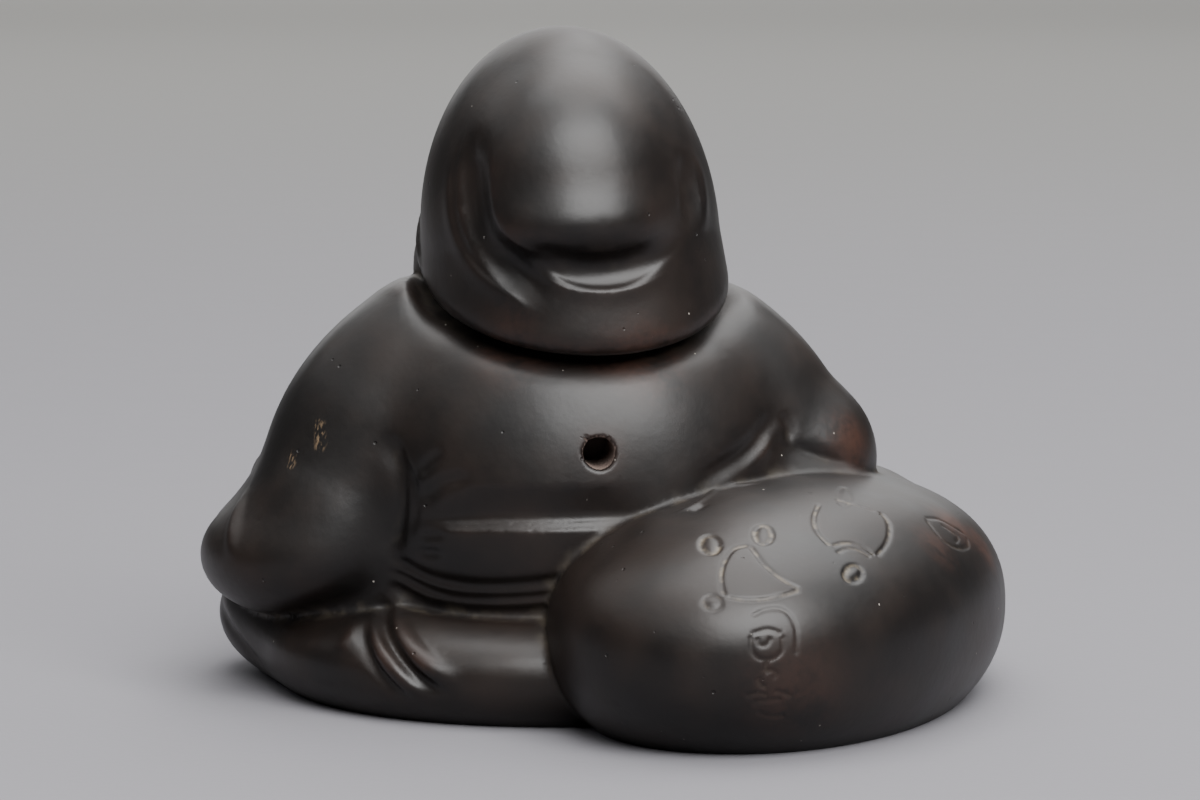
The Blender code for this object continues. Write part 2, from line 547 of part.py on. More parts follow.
def mesh_of(name, points, faces):
    mesh = bpy.data.meshes.new(name)
    mesh.from_pydata((points * PART).tolist(), [], faces.tolist())
    mesh.update()
    return mesh


def close_below(mesh):
    """Cuts the mesh off a little below the floor and fills it there."""
    work = bmesh.new()
    work.from_mesh(mesh)
    everything = work.verts[:] + work.edges[:] + work.faces[:]
    made = bmesh.ops.bisect_plane(
        work,
        geom=everything,
        dist=1e-6,
        plane_co=(0, 0, -SPARE_BELOW * PART),
        plane_no=(0, 0, 1),
        clear_inner=True,
    )
    rim = [e for e in made["geom_cut"] if isinstance(e, bmesh.types.BMEdge)]
    bmesh.ops.holes_fill(work, edges=rim, sides=0)
    bmesh.ops.recalc_face_normals(work, faces=work.faces[:])
    work.to_mesh(mesh)
    work.free()


def clay():
    material = bpy.data.materials.new("fired_clay")
    material.use_nodes = True
    shader = material.node_tree.nodes["Principled BSDF"]
    shader.inputs["Base Color"].default_value = CLAY_COLOUR
    shader.inputs["Roughness"].default_value = CLAY_ROUGHNESS
    shader.inputs["Metallic"].default_value = 0.0
    return material


def keep_fine(statue):
    """Weights that leave smaller triangles on the face and the hands than on the broad cloth."""
    coarse = statue.vertex_groups.new(name="coarse")
    fine = []
    for vertex in statue.data.vertices:
        x, y, z = vertex.co / PART
        face = abs(x) < 17.0 and y < -16.0 and 62.0 < z < 93.0
        hands = y < -34.0 and 20.0 < z < 60.0 and abs(x) > 24.0
        if face or hands:
            fine.append(vertex.index)
    coarse.add(range(len(statue.data.vertices)), 1.0, "REPLACE")
    coarse.add(fine, FINE_WEIGHT, "REPLACE")


def floor_cutter():
    """The block below the floor, which leaves the flat underside."""
    size = 2.5 * HEIGHT
    bpy.ops.mesh.primitive_cube_add(size=size, location=(0.0, 0.0, -size / 2.0))
    block = bpy.context.object
    block.name = "floor_cutter"
    return block


def vent_cutter():
    """The rod that leaves the round vent in the back."""
    across, up = -VENT_SIDE / PART, VENT_HEIGHT / PART
    back = drawn(180, ((across, up), (across + 0.1, up)), clothes)[0]
    length = 2.0 * VENT_DEPTH
    bpy.ops.mesh.primitive_cylinder_add(vertices=24, radius=VENT_DIAMETER / 2.0, depth=length)
    rod = bpy.context.object
    rod.name = "vent_cutter"
    rod.rotation_euler = (math.pi / 2.0, 0.0, 0.0)
    rod.location = (VENT_SIDE, back[1] * PART, VENT_HEIGHT)
    return rod


def cut_away(obj, name, cutter):
    cutter.display_type = "WIRE"
    cutter.hide_render = True
    step = obj.modifiers.new(name, "BOOLEAN")
    step.operation = "DIFFERENCE"
    step.solver = "EXACT"
    step.object = cutter


def main():
    for obj in list(bpy.data.objects):
        bpy.data.objects.remove(obj)
    field = statue_field()
    values = grid_field(field, GRID_LOW, GRID_HIGH, GRID_STEP)
    points, faces = outer_skin(*skin_of(values, GRID_LOW, GRID_STEP))
    mesh = mesh_of("daikoku_figure", settled(points, field), faces)
    close_below(mesh)
    mesh.materials.append(clay())
    statue = bpy.data.objects.new("daikoku_figure", mesh)
    bpy.context.scene.collection.objects.link(statue)
    keep_fine(statue)
    thin = statue.modifiers.new("Decimate", "DECIMATE")
    thin.ratio = MOST_TRIANGLES / len(mesh.polygons)
    thin.vertex_group = "coarse"
    thin.vertex_group_factor = FINE_FACTOR
    cut_away(statue, "Underside", floor_cutter())
    cut_away(statue, "Vent", vent_cutter())
    return statue


if __name__ == "__main__":
    main()
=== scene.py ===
"""A dark stoneware figure of a seated god of wealth, seen from behind on a pale studio floor.

The figure is one piece. Its fine skin is worked out from the same field of smooth masses as the solid,
and then gets what is too fine for the solid: the marks pressed into the sack, the chipped edge of the
vent and the small lips of cloth. The glow of the clay, its worn places and the residue in its grooves
come from its finish.

Modelled forms are given in parts of the height, 122 to the height, so that a part is a millimetre.
"""

import math

import bmesh
import bpy
import numpy as np
from bpy.props import FloatProperty, FloatVectorProperty, PointerProperty
from bpy.types import Operator, Panel, PropertyGroup
from mathutils import Euler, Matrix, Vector
from mathutils.kdtree import KDTree


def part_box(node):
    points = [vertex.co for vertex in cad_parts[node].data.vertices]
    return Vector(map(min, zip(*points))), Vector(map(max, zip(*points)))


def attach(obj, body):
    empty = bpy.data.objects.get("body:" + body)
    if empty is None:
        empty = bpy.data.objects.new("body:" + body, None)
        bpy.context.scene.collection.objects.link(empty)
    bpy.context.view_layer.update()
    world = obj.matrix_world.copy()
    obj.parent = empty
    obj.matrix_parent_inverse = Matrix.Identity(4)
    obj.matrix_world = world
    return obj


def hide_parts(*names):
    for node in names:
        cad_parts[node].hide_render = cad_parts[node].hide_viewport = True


bl_info = {
    "name": "Seated god of wealth",
    "version": (1, 0, 0),
    "blender": (4, 5, 0),
    "location": "View3D > Sidebar > Figure",
    "description": "Builds a dark stoneware figure with its sack, its studio floor, lights and camera",
    "category": "Object",
}

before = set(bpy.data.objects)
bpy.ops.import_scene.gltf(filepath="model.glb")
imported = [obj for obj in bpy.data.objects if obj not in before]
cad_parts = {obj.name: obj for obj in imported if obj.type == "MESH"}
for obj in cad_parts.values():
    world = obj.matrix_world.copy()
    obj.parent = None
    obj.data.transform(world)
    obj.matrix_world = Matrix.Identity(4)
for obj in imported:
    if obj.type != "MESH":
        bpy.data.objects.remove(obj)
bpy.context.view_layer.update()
FIGURE_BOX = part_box("daikoku_figure")

HEIGHT = round(FIGURE_BOX[1].z - FIGURE_BOX[0].z, 3)
PARTS_IN_HEIGHT = 122.0
PART = HEIGHT / PARTS_IN_HEIGHT

GRID_LOW = (-84.0, -66.0, -6.0)
GRID_HIGH = (76.0, 82.0, 128.0)
GRID_STEP = 1.6
BLOCK = 4
BLOCK_REACH = 13.0
BASE_TRIANGLES = 52000
BAND = 6.0
BOTH = (1.0, -1.0)
TETRAHEDRA = ((0, 1, 3, 7), (0, 3, 2, 7), (0, 2, 6, 7), (0, 6, 4, 7), (0, 4, 5, 7), (0, 5, 1, 7))
FRONT_RIM = (0.0, -0.95, -1.0)
BACK_RIM = (0.0, -0.33, -1.0)
RIGHT_HEM = (-50.0, 14.0, 40.5)
RIGHT_HEM_OUT = (0.42, 0.3, -1.0)

VENT_SIDE = -0.5
VENT_HEIGHT = 48.2
VENT_DIAMETER = 5.6
VENT_DEPTH = 14.0

# Edge lengths of the fine skin: on broad cloth, on the face and hands and in creases, beside the thinnest
# lines and beside lines with straight flanks. Away from a line they grow by a share of the distance.
BROAD_EDGE = 1.9
FEATURE_EDGE = 0.85
SHORT_EDGE = 0.37
SHARP_EDGE = 0.58
EDGE_GROWTH = 0.42
REFINE_ROUNDS = 4

# How many grid cells the crowding looks round a point, and from which value on it is a crease.
CROWD_REACH = 2
CREASE_CROWD = 0.6

SLOPE_STEP = 0.05
RIM_SPOTS = 24
SHARP_ANGLE = math.radians(55.0)


# Fields


def local(p, centre, turn=(0.0, 0.0, 0.0)):
    """Points seen from a centre, in axes that are turned by three angles in degrees."""
    axes = np.array(Euler([math.radians(a) for a in turn]).to_matrix())
    return (p - np.array(centre)) @ axes


def ellipsoid(p, centre, radii, turn=(0.0, 0.0, 0.0)):
    q = local(p, centre, turn) / np.array(radii)
    near = np.linalg.norm(q, axis=1)
    slope = np.linalg.norm(q / np.array(radii), axis=1) + 1e-9
    return near * (near - 1.0) / slope


def pillow(p, centre, radii, turn=(0.0, 0.0, 0.0), plan=2.0, side=2.5):
    """An ellipsoid with fuller edges: plan and side are 2 for an ellipse, and more for a squarer one."""
    q = local(p, centre, turn)
    s = np.abs(q / np.array(radii)) + 1e-9
    flat = (s[:, 0] ** plan + s[:, 1] ** plan) ** (1.0 / plan)
    k = (flat**side + s[:, 2] ** side) ** (1.0 / side)
    return np.linalg.norm(q, axis=1) * (1.0 - 1.0 / k)


def limb(p, *joints):
    """A round limb through its joints, each given as x, y, z and a radius."""
    field = None
    for a, b in zip(joints, joints[1:]):
        start, way = np.array(a[:3]), np.array(b[:3]) - np.array(a[:3])
        share = np.clip((p - start) @ way / (way @ way), 0.0, 1.0)
        one = np.linalg.norm(p - start - share[:, None] * way, axis=1) - a[3] - (b[3] - a[3]) * share
        field = one if field is None else np.minimum(field, one)
    return field


def drum(p, centre, half_length, radius, turn, edge):
    """A round drum whose axis is local Z, with rounded edges."""
    q = local(p, centre, turn)
    out = np.hypot(q[:, 0], q[:, 1]) - radius + edge
    up = np.abs(q[:, 2]) - half_length + edge
    outside = np.hypot(np.maximum(out, 0.0), np.maximum(up, 0.0))
    return outside + np.minimum(np.maximum(out, up), 0.0) - edge


def joined(a, b, soft):
    """Both masses, with a fillet of about that size where they meet."""
    h = np.maximum(soft - np.abs(a - b), 0.0) / soft
    return np.minimum(a, b) - h * h * soft / 4.0


def cut(a, b, soft):
    """The first mass less the second, with a rounded edge."""
    return -joined(-a, b, soft)


def trimmed(a, b, soft):
    """Only what lies in both masses, with a rounded edge."""
    return -joined(-a, -b, soft)


def half_space(p, point, outward):
    """Everything behind a plane, which faces outward."""
    n = np.array(outward) / np.linalg.norm(outward)
    return (p - np.array(point)) @ n


# Masses


def cap_shell(p):
    """The egg of the cap, nearly straight below its widest level."""
    q = local(p, (0.6, 1.0, 83.5), (1.5, 4.4, 0.0))
    low = np.clip(-q[:, 2] / 20.0, 0.0, 1.0)
    flare = 1.0 + 0.075 * low
    radii = np.array((27.3, 29.3, 38.5))
    s = np.stack([q[:, 0] / flare, q[:, 1] / flare, np.maximum(q[:, 2], 0.0)], axis=1) / radii
    near = np.linalg.norm(s, axis=1)
    return near * (near - 1.0) / (np.linalg.norm(s / radii, axis=1) + 1e-9)


def hood(p):
    """The shell above two slanting planes, which meet over the ears."""
    shell = trimmed(cap_shell(p), half_space(p, (0.0, 30.0, 64.5), BACK_RIM), 5.0)
    return trimmed(shell, half_space(p, (0.0, -3.0, 74.5), FRONT_RIM), 3.0)


def cap(p):
    """The hood with the puff of its crown at the back and a turned-up band along its front rim."""
    puff = ellipsoid(p, (2.4, 15.2, 94.5), (19.2, 17.2, 22.5), (20.0, 3.0, 0.0))
    droop = ellipsoid(p, (2.2, 19.0, 87.0), (16.0, 15.6, 6.0), (4.0, 3.0, 0.0))
    puff = joined(puff, droop, 6.0)
    from_rim = half_space(p, (0.0, -3.0, 76.8), FRONT_RIM)
    band = trimmed(cap_shell(p) - 1.2, np.abs(from_rim + 1.2) - 3.2, 2.4)
    band = trimmed(band, half_space(p, (0.0, 30.0, 67.0), BACK_RIM), 4.0)
    return joined(joined(hood(p), puff, 2.0), band, 1.0)


def ear(p, side):
    shell = ellipsoid(p, (24.6 * side, -8.5, 77.5), (3.8, 6.2, 9.0), (-8.0, 0.0, 12.0 * side))
    lobe = ellipsoid(p, (25.0 * side, -11.0, 68.5), (3.6, 4.6, 6.0), (-8.0, 0.0, 12.0 * side))
    return joined(shell, lobe, 2.5)


def head(p):
    skull = ellipsoid(p, (0.0, -3.0, 81.5), (23.5, 22.0, 20.5))
    jowls = ellipsoid(p, (0.0, -8.5, 72.5), (22.0, 16.5, 12.0))
    face = joined(skull, jowls, 8.0)
    for side in BOTH:
        cheek = ellipsoid(p, (11.0 * side, -19.5, 74.8), (8.6, 6.6, 7.6))
        wing = ellipsoid(p, (3.1 * side, -26.4, 76.6), (2.6, 2.6, 2.3))
        socket = ellipsoid(p, (9.0 * side, -28.5, 83.5), (6.5, 5.4, 3.4))
        face = joined(face, cheek, 2.5)
        face = cut(face, socket, 2.5)
        lid = ellipsoid(p, (8.8 * side, -20.6, 82.9), (5.4, 3.6, 3.0))
        face = joined(face, lid, 1.2)
        face = joined(face, wing, 1.2)
        face = joined(face, ear(p, side), 1.5)
    nose = limb(p, (0.0, -23.2, 85.0, 1.9), (0.0, -26.9, 77.8, 3.2))
    chin = ellipsoid(p, (0.0, -20.8, 65.0), (7.6, 5.2, 4.8))
    lip = ellipsoid(p, (0.0, -24.3, 69.0), (4.6, 2.0, 1.5))
    face = joined(face, nose, 1.8)
    face = joined(face, chin, 2.5)
    return joined(face, lip, 1.2)


def mantle(p):
    """Shoulders and upper arms in one, open below the right sleeve."""
    both = pillow(p, (1.7, -2.0, 35.0), (56.2, 26.0, 48.0), plan=2.3, side=2.0)
    left = trimmed(both, half_space(p, (-16.0, 0.0, 0.0), (-1.0, 0.0, 0.0)), 8.0)
    right = trimmed(both, half_space(p, RIGHT_HEM, RIGHT_HEM_OUT), 3.5)
    return joined(left, right, 1.0)


def torso(p):
    back = ellipsoid(p, (0.0, 1.0, 37.0), (42.0, 36.0, 43.0))
    belly = ellipsoid(p, (0.0, -14.0, 35.0), (37.0, 31.0, 26.0))
    return joined(back, belly, 10.0)


def lap(p):
    seat = pillow(p, (0.0, -7.0, 8.0), (58.0, 50.5, 15.0), plan=2.0, side=2.4)
    legs = seat
    for side in BOTH:
        knee = ellipsoid(p, (41.5 * side, -20.0, 11.5), (23.0, 24.0, 14.5), (0.0, 0.0, 20.0 * side))
        legs = joined(legs, knee, 5.0)
    shin = limb(p, (34.0, -36.0, 11.0, 11.0), (-2.0, -48.0, 10.0, 8.5), (-24.0, -46.0, 8.0, 7.0))
    other = limb(p, (-36.0, -34.0, 9.0, 11.0), (2.0, -44.0, 4.0, 7.0))
    return joined(joined(legs, other, 3.0), shin, 2.0)


def left_sleeve(p):
    arm = limb(p, (35.5, 1.0, 48.0, 16.0), (41.5, 2.0, 34.5, 17.6), (44.0, -26.0, 32.5, 15.0))
    bag = ellipsoid(p, (47.4, -4.0, 27.0), (21.2, 24.0, 13.0), (0.0, 8.0, 0.0))
    sleeve = joined(arm, bag, 6.0)
    sleeve = trimmed(sleeve, half_space(p, (50.0, 10.0, 16.5), (-0.28, 0.25, -1.0)), 3.5)
    return trimmed(sleeve, half_space(p, (46.0, -32.0, 32.0), (-0.30, -1.0, 0.10)), 1.8)


def right_sleeve(p):
    arm = limb(p, (-33.0, 1.0, 47.0, 15.0), (-40.2, 0.0, 42.0, 16.4), (-41.0, -26.0, 44.0, 13.0))
    sleeve = trimmed(arm, half_space(p, RIGHT_HEM, RIGHT_HEM_OUT), 3.5)
    lining = limb(p, (-32.0, 12.0, 37.0, 11.0), (-45.0, 8.0, 36.0, 9.5))
    sleeve = joined(sleeve, lining, 0.8)
    return trimmed(sleeve, half_space(p, (-42.0, -31.0, 44.0), (0.25, -1.0, -0.1)), 1.8)


def fist(p, centre, side):
    """A closed hand round an upright grip: back outside, fingers in front and thumb on top."""
    x, y, z = centre
    hand = ellipsoid(p, (x + 3.4 * side, y + 3.6, z), (8.4, 8.6, 8.2))
    for k in range(4):
        way = []
        for n in range(6):
            bend = math.radians(5.0 + 31.0 * n)
            across, ahead = 6.2 * side * math.cos(bend), -5.6 * math.sin(bend)
            way.append((x + across, y + ahead, z + 5.6 - 3.7 * k, 2.4 - 0.08 * n))
        hand = joined(hand, limb(p, *way), 1.0)
    thumb = limb(p, (x + 1.0 * side, y + 4.0, z + 7.2, 3.0), (x - 4.0 * side, y - 1.6, z + 7.4, 2.4))
    return joined(hand, thumb, 1.2)


def mallet(p):
    """The mallet that grants wishes: a short drum across the top of a grip."""
    x, y, z = 37.5, -38.0, 45.5
    head = drum(p, (x, y, z), 10.5, 7.8, (0.0, 90.0, 12.0), 1.6)
    turn = math.radians(12.0)
    for k in (-6.8, 6.8):
        place = (x + k * math.cos(turn), y + k * math.sin(turn), z)
        hoop = drum(p, place, 1.4, 8.6, (0.0, 90.0, 12.0), 0.8)
        head = joined(head, hoop, 0.6)
    grip = limb(p, (x, y, z, 2.8), (x - 0.5, y - 0.6, 21.0, 2.8))
    return joined(head, grip, 0.8)


def sack(p):
    full = pillow(p, (-35.5, 20.0, 16.2), (58.0, 37.9, 25.4), (0.0, 0.0, 59.8), 2.1, 2.25)
    neck = limb(p, (-50.0, -17.0, 24.0, 17.0), (-45.0, -34.0, 36.0, 7.0), (-44.0, -38.0, 47.0, 4.5))
    cloth = joined(full, neck, 9.0)
    mouth = limb(p, (-44.2, -38.0, 45.0, 4.0), (-43.4, -39.0, 54.0, 9.2))
    mouth = trimmed(mouth, half_space(p, (-43.5, -39.0, 56.0), (0.05, -0.2, 1.0)), 2.0)
    return joined(cloth, mouth, 2.0)


def clothes(p):
    """Robe, sleeves and crossed legs, hollowed a little below the hood and closed again by the neck."""
    body = joined(torso(p), mantle(p), 3.0)
    body = joined(body, left_sleeve(p), 2.5)
    body = joined(body, right_sleeve(p), 2.0)
    body = joined(body, lap(p), 1.5)
    body = cut(body, hood(p) - 1.7, 3.5)
    return joined(body, ellipsoid(p, (0.0, -3.0, 66.0), (22.0, 22.0, 20.0)), 1.5)


# Lines on the skin


def smooth_line(points, spacing=1.1):
    """An evenly spaced smooth curve through the points."""
    points = np.array(points, float)
    padded = np.concatenate([[2 * points[0] - points[1]], points, [2 * points[-1] - points[-2]]])
    way = []
    for a, b, c, d in zip(padded, padded[1:], padded[2:], padded[3:]):
        count = max(2, int(np.linalg.norm(c - b) / spacing) + 1)
        t = np.linspace(0.0, 1.0, count, endpoint=False)[:, None]
        bend = (2 * a - 5 * b + 4 * c - d) * t**2 + (3 * b - a - 3 * c + d) * t**3
        way.append(0.5 * (2 * b + (c - a) * t + bend))
    return np.concatenate(way + [padded[-2:-1]])


def drawn(azimuth, points, field, far=96.0, spacing=1.1):
    """A line seen level from an azimuth, across and up, and laid on a mass from that side."""
    angle = math.radians(azimuth)
    right = np.array((math.cos(angle), math.sin(angle), 0.0))
    toward = np.array((math.sin(angle), -math.cos(angle), 0.0))
    flat = smooth_line(points, spacing)
    places = flat[:, :1] * right + flat[:, 1:] * np.array((0.0, 0.0, 1.0)) + far * toward
    for _ in range(110):
        gap = field(places)
        places = places - np.clip(gap * 0.8, -0.5, 4.0)[:, None] * toward
    return places


def fold(line, field, rise, left, right, taper, straight=False):
    """A raised or sunk line with one width of flank at its left and another at its right. Round flanks
    fade out, and straight ones end in an edge."""
    tangent = np.gradient(line, axis=0)
    normal = slope_of(line, field)
    to_left = np.cross(normal, tangent)
    to_left /= np.linalg.norm(to_left, axis=1, keepdims=True) + 1e-9
    return line, to_left, rise, left, right, taper, straight


def fold_rise(p, line, to_left, rise, left, right, taper, straight):
    """How far one line lifts the skin at each point."""
    reach = 2.4 * max(left, right)
    lift = np.zeros(len(p))
    near = np.all((p > line.min(axis=0) - reach) & (p < line.max(axis=0) + reach), axis=1)
    q = p[near]
    if not len(q):
        return lift
    best = np.full(len(q), 1e9)
    share = np.zeros(len(q))
    leftness = np.zeros(len(q))
    steps = len(line) - 1
    for k in range(steps):
        way = line[k + 1] - line[k]
        t = np.clip((q - line[k]) @ way / (way @ way + 1e-12), 0.0, 1.0)
        away = q - line[k] - t[:, None] * way
        length = np.linalg.norm(away, axis=1)
        closer = length < best
        best[closer] = length[closer]
        share[closer] = (k + t[closer]) / steps
        leftness[closer] = (away[closer] @ to_left[k]) / (length[closer] + 1e-6)
    mix = 0.5 + 0.5 * np.clip(leftness * 1.6, -1.0, 1.0)
    width = right + (left - right) * mix
    ends = np.clip(np.minimum(share, 1.0 - share) / max(taper, 1e-3), 0.0, 1.0)
    flank = np.maximum(1.0 - best / width, 0.0) if straight else np.exp(-((best / width) ** 2))
    lift[near] = rise * flank * ends * ends * (3.0 - 2.0 * ends)
    return lift


# Each line is drawn across and up as seen level from an azimuth: 0 in front, 90 at the figure's left, 180
# behind. After it come its rise, the widths of its two flanks, how much of its length tapers off and, for
# a few, that the flanks are straight.

CAP_LINES = (
    # The valley round the puff, below flat ledges of the hood whose edges stand up sharply.
    (140, ((-2.8, 105.7), (-3.4, 100.6), (-3.1, 97.2), (-2.0, 91.1), (0.1, 86.4), (3.1, 83.0),
           (6.3, 80.3), (9.4, 78.1), (12.2, 75.4), (13.9, 72.8)), -3.3, 6.0, 3.5, 0.35, True),
    (140, ((-6.0, 105.5), (-8.6, 101.2), (-9.1, 96.8), (-8.5, 91.5), (-7.0, 86.6), (-4.3, 82.4),
           (0.0, 78.7), (4.9, 76.0), (10.0, 73.6), (14.3, 71.1)), 0.4, 0.8, 2.0, 0.35),
    (180, ((-12.6, 86.2), (-10.5, 84.1), (-7.6, 82.3), (-3.2, 80.9), (1.9, 80.5), (6.7, 81.0),
           (10.5, 82.3), (14.4, 84.1)), -2.5, 3.5, 4.2, 0.4, True),
    (180, ((-12.9, 85.4), (-10.9, 82.2), (-7.9, 79.5), (-3.2, 77.2), (1.9, 76.5), (6.2, 77.0),
           (10.4, 78.8), (14.3, 81.3), (18.0, 84.0)), 0.4, 0.8, 2.0, 0.35),
    (215, ((3.9, 101.0), (4.2, 95.9), (4.0, 90.6), (2.4, 84.9)), -2.0, 3.4, 4.5, 0.45, True),
    (215, ((6.7, 101.9), (8.8, 95.6), (8.2, 89.4), (6.5, 83.7)), 0.4, 2.0, 0.8, 0.4),
    # Short gathers over the front band.
    (0, ((-15.5, 100.5), (-14.0, 106.0), (-11.0, 110.5)), -0.9, 1.8, 1.8, 0.5),
    (0, ((-6.2, 101.8), (-5.6, 107.0), (-3.8, 111.5)), -0.9, 1.8, 1.8, 0.5),
    (0, ((3.8, 102.0), (4.2, 107.0), (4.6, 112.0)), -0.9, 1.8, 1.8, 0.5),
    (0, ((13.8, 101.0), (13.2, 106.0), (11.2, 110.5)), -0.9, 1.8, 1.8, 0.5),
)

ROBE_LINES = (
    # The waist: a shelf along the top of the sash, then two cords between three grooves.
    (180, ((-33.5, 35.2), (-25.3, 35.9), (-16.8, 36.5), (-6.5, 36.7), (3.2, 37.0), (12.0, 37.6)),
     -2.2, 6.0, 2.0, 0.3, True),
    (180, ((-36.0, 28.4), (-30.2, 25.3), (-25.2, 24.2), (-19.1, 24.0), (-9.0, 25.0), (2.0, 27.0)),
     -1.2, 1.3, 1.0, 0.1),
    (180, ((-36.0, 25.8), (-30.2, 23.0), (-25.1, 21.7), (-19.0, 21.7), (-9.3, 22.6), (2.0, 24.5)),
     -1.2, 1.0, 1.0, 0.1),
    (180, ((-36.0, 23.6), (-30.1, 20.1), (-25.0, 19.2), (-18.9, 19.2), (-10.0, 20.0), (2.0, 21.8)),
     -1.6, 1.0, 1.5, 0.1),
    # Folds that fall from under the sleeve, each with the valley beside it.
    (165, ((-30.2, 21.8), (-26.7, 16.7), (-22.8, 13.1), (-18.0, 10.0), (-12.4, 8.0)),
     2.3, 2.8, 2.4, 0.45, True),
    (165, ((-31.5, 21.4), (-28.8, 16.5), (-24.8, 12.5), (-20.4, 8.6), (-15.4, 6.4)), -1.9, 1.1, 1.3, 0.3),
    (165, ((-33.0, 19.0), (-30.2, 14.3), (-26.7, 10.4), (-23.2, 7.5), (-19.6, 5.5)),
     1.9, 2.4, 2.0, 0.45, True),
    (165, ((-34.5, 19.0), (-32.2, 14.1), (-28.8, 9.3), (-25.4, 6.1), (-22.0, 4.2)), -1.1, 1.3, 1.3, 0.35),
    (165, ((-34.2, 18.0), (-35.2, 14.4), (-36.2, 10.8)), 0.9, 1.8, 1.8, 0.4),
    # Creases round the left armpit.
    (165, ((-29.2, 51.0), (-26.9, 44.8), (-26.2, 38.7), (-27.0, 33.3), (-29.4, 27.2)),
     -1.4, 1.4, 2.2, 0.25),
    (165, ((-27.3, 46.2), (-24.4, 42.5), (-23.9, 37.2), (-25.0, 31.5)), -0.8, 1.2, 1.2, 0.3),
    (165, ((-23.6, 38.2), (-21.0, 40.5), (-17.7, 42.5), (-12.0, 43.9)), -0.9, 1.3, 1.6, 0.3),
    (165, ((-24.0, 42.6), (-21.1, 45.7), (-17.8, 48.6)), -0.7, 1.2, 1.2, 0.4),
    (165, ((-23.5, 32.6), (-20.2, 33.0), (-16.8, 33.5)), -0.5, 1.0, 1.0, 0.4),
    (165, ((-24.0, 29.4), (-20.7, 29.7), (-17.4, 29.7)), -0.5, 1.0, 1.0, 0.4),
    # The leg and the swell of the sleeve at the left.
    (130, ((-58.0, 14.0), (-51.5, 10.9), (-47.0, 8.2), (-42.9, 6.0), (-36.0, 3.6)), -1.2, 1.2, 1.6, 0.3),
    (130, ((-37.2, 39.2), (-35.3, 34.0), (-33.4, 30.8), (-31.0, 26.0)), 0.9, 1.3, 1.8, 0.4),
    # Pinches of cloth where the right sleeve lies on the sack.
    (195, ((30.9, 53.4), (25.3, 49.5), (21.2, 47.0), (15.1, 44.5), (7.6, 41.8)), -1.2, 1.4, 1.9, 0.3),
    (195, ((28.5, 50.8), (24.6, 46.6), (18.8, 43.9)), 0.5, 1.4, 1.4, 0.4),
    (195, ((30.3, 52.8), (32.0, 49.6), (31.1, 46.8)), -0.9, 1.2, 1.2, 0.35),
    # The robe crosses left over right, with a turned hem on each side.
    (0, ((19.5, 58.0), (14.0, 50.5), (6.0, 43.5), (-5.0, 38.2), (-14.0, 34.8)), 1.7, 1.2, 3.4, 0.08),
    (0, ((24.0, 54.5), (18.0, 46.0), (9.5, 39.0), (-1.5, 34.0)), -1.0, 1.1, 1.1, 0.15),
    (0, ((-19.5, 58.0), (-14.0, 50.5), (-6.5, 44.8), (1.0, 41.0)), 1.5, 3.2, 1.2, 0.1),
    (0, ((-24.0, 54.5), (-18.0, 46.2), (-11.5, 40.6), (-6.0, 38.0)), -1.0, 1.1, 1.1, 0.2),
    # The sash in front.
    (0, ((-32.0, 34.0), (-18.0, 30.2), (0.0, 28.8), (18.0, 30.2), (30.0, 34.0)), -1.3, 3.4, 0.9, 0.12),
    (0, ((-32.0, 25.5), (-18.0, 22.8), (0.0, 22.0), (18.0, 22.8), (30.0, 25.5)), -1.4, 1.0, 1.4, 0.1),
    # Folds of the robe over the crossed legs.
    (0, ((-34.0, 19.5), (-22.0, 12.5), (-4.0, 8.6), (16.0, 9.0), (30.0, 13.0)), -1.6, 2.0, 1.4, 0.25),
    (0, ((-38.0, 13.5), (-24.0, 7.0), (-2.0, 3.6), (20.0, 4.4)), -1.4, 1.8, 1.4, 0.25),
    (0, ((42.0, 17.0), (30.0, 15.6), (16.0, 14.4), (4.0, 14.6)), -1.2, 1.4, 1.8, 0.3),
    (0, ((56.0, 12.0), (48.0, 7.0), (36.0, 4.0), (26.0, 3.0)), -1.1, 1.5, 1.5, 0.3),
    (0, ((-52.0, 10.0), (-44.0, 5.6), (-34.0, 3.4)), -1.0, 1.5, 1.5, 0.3),
    # Creases of both sleeves.
    (60, ((8.0, 46.0), (2.0, 40.0), (-7.0, 36.0)), -1.2, 1.5, 1.5, 0.35),
    (60, ((14.0, 38.0), (6.0, 30.0), (-6.0, 26.5)), -1.3, 1.6, 1.6, 0.35),
    (80, ((6.0, 34.0), (-2.0, 25.0), (-14.0, 21.5)), -1.2, 1.6, 1.6, 0.35),
    (-55, ((-14.0, 56.0), (-9.0, 51.0), (0.0, 48.0)), -1.2, 1.5, 1.5, 0.35),
    (-60, ((-16.0, 50.0), (-8.0, 45.5), (4.0, 43.5)), -1.2, 1.5, 1.5, 0.35),
)

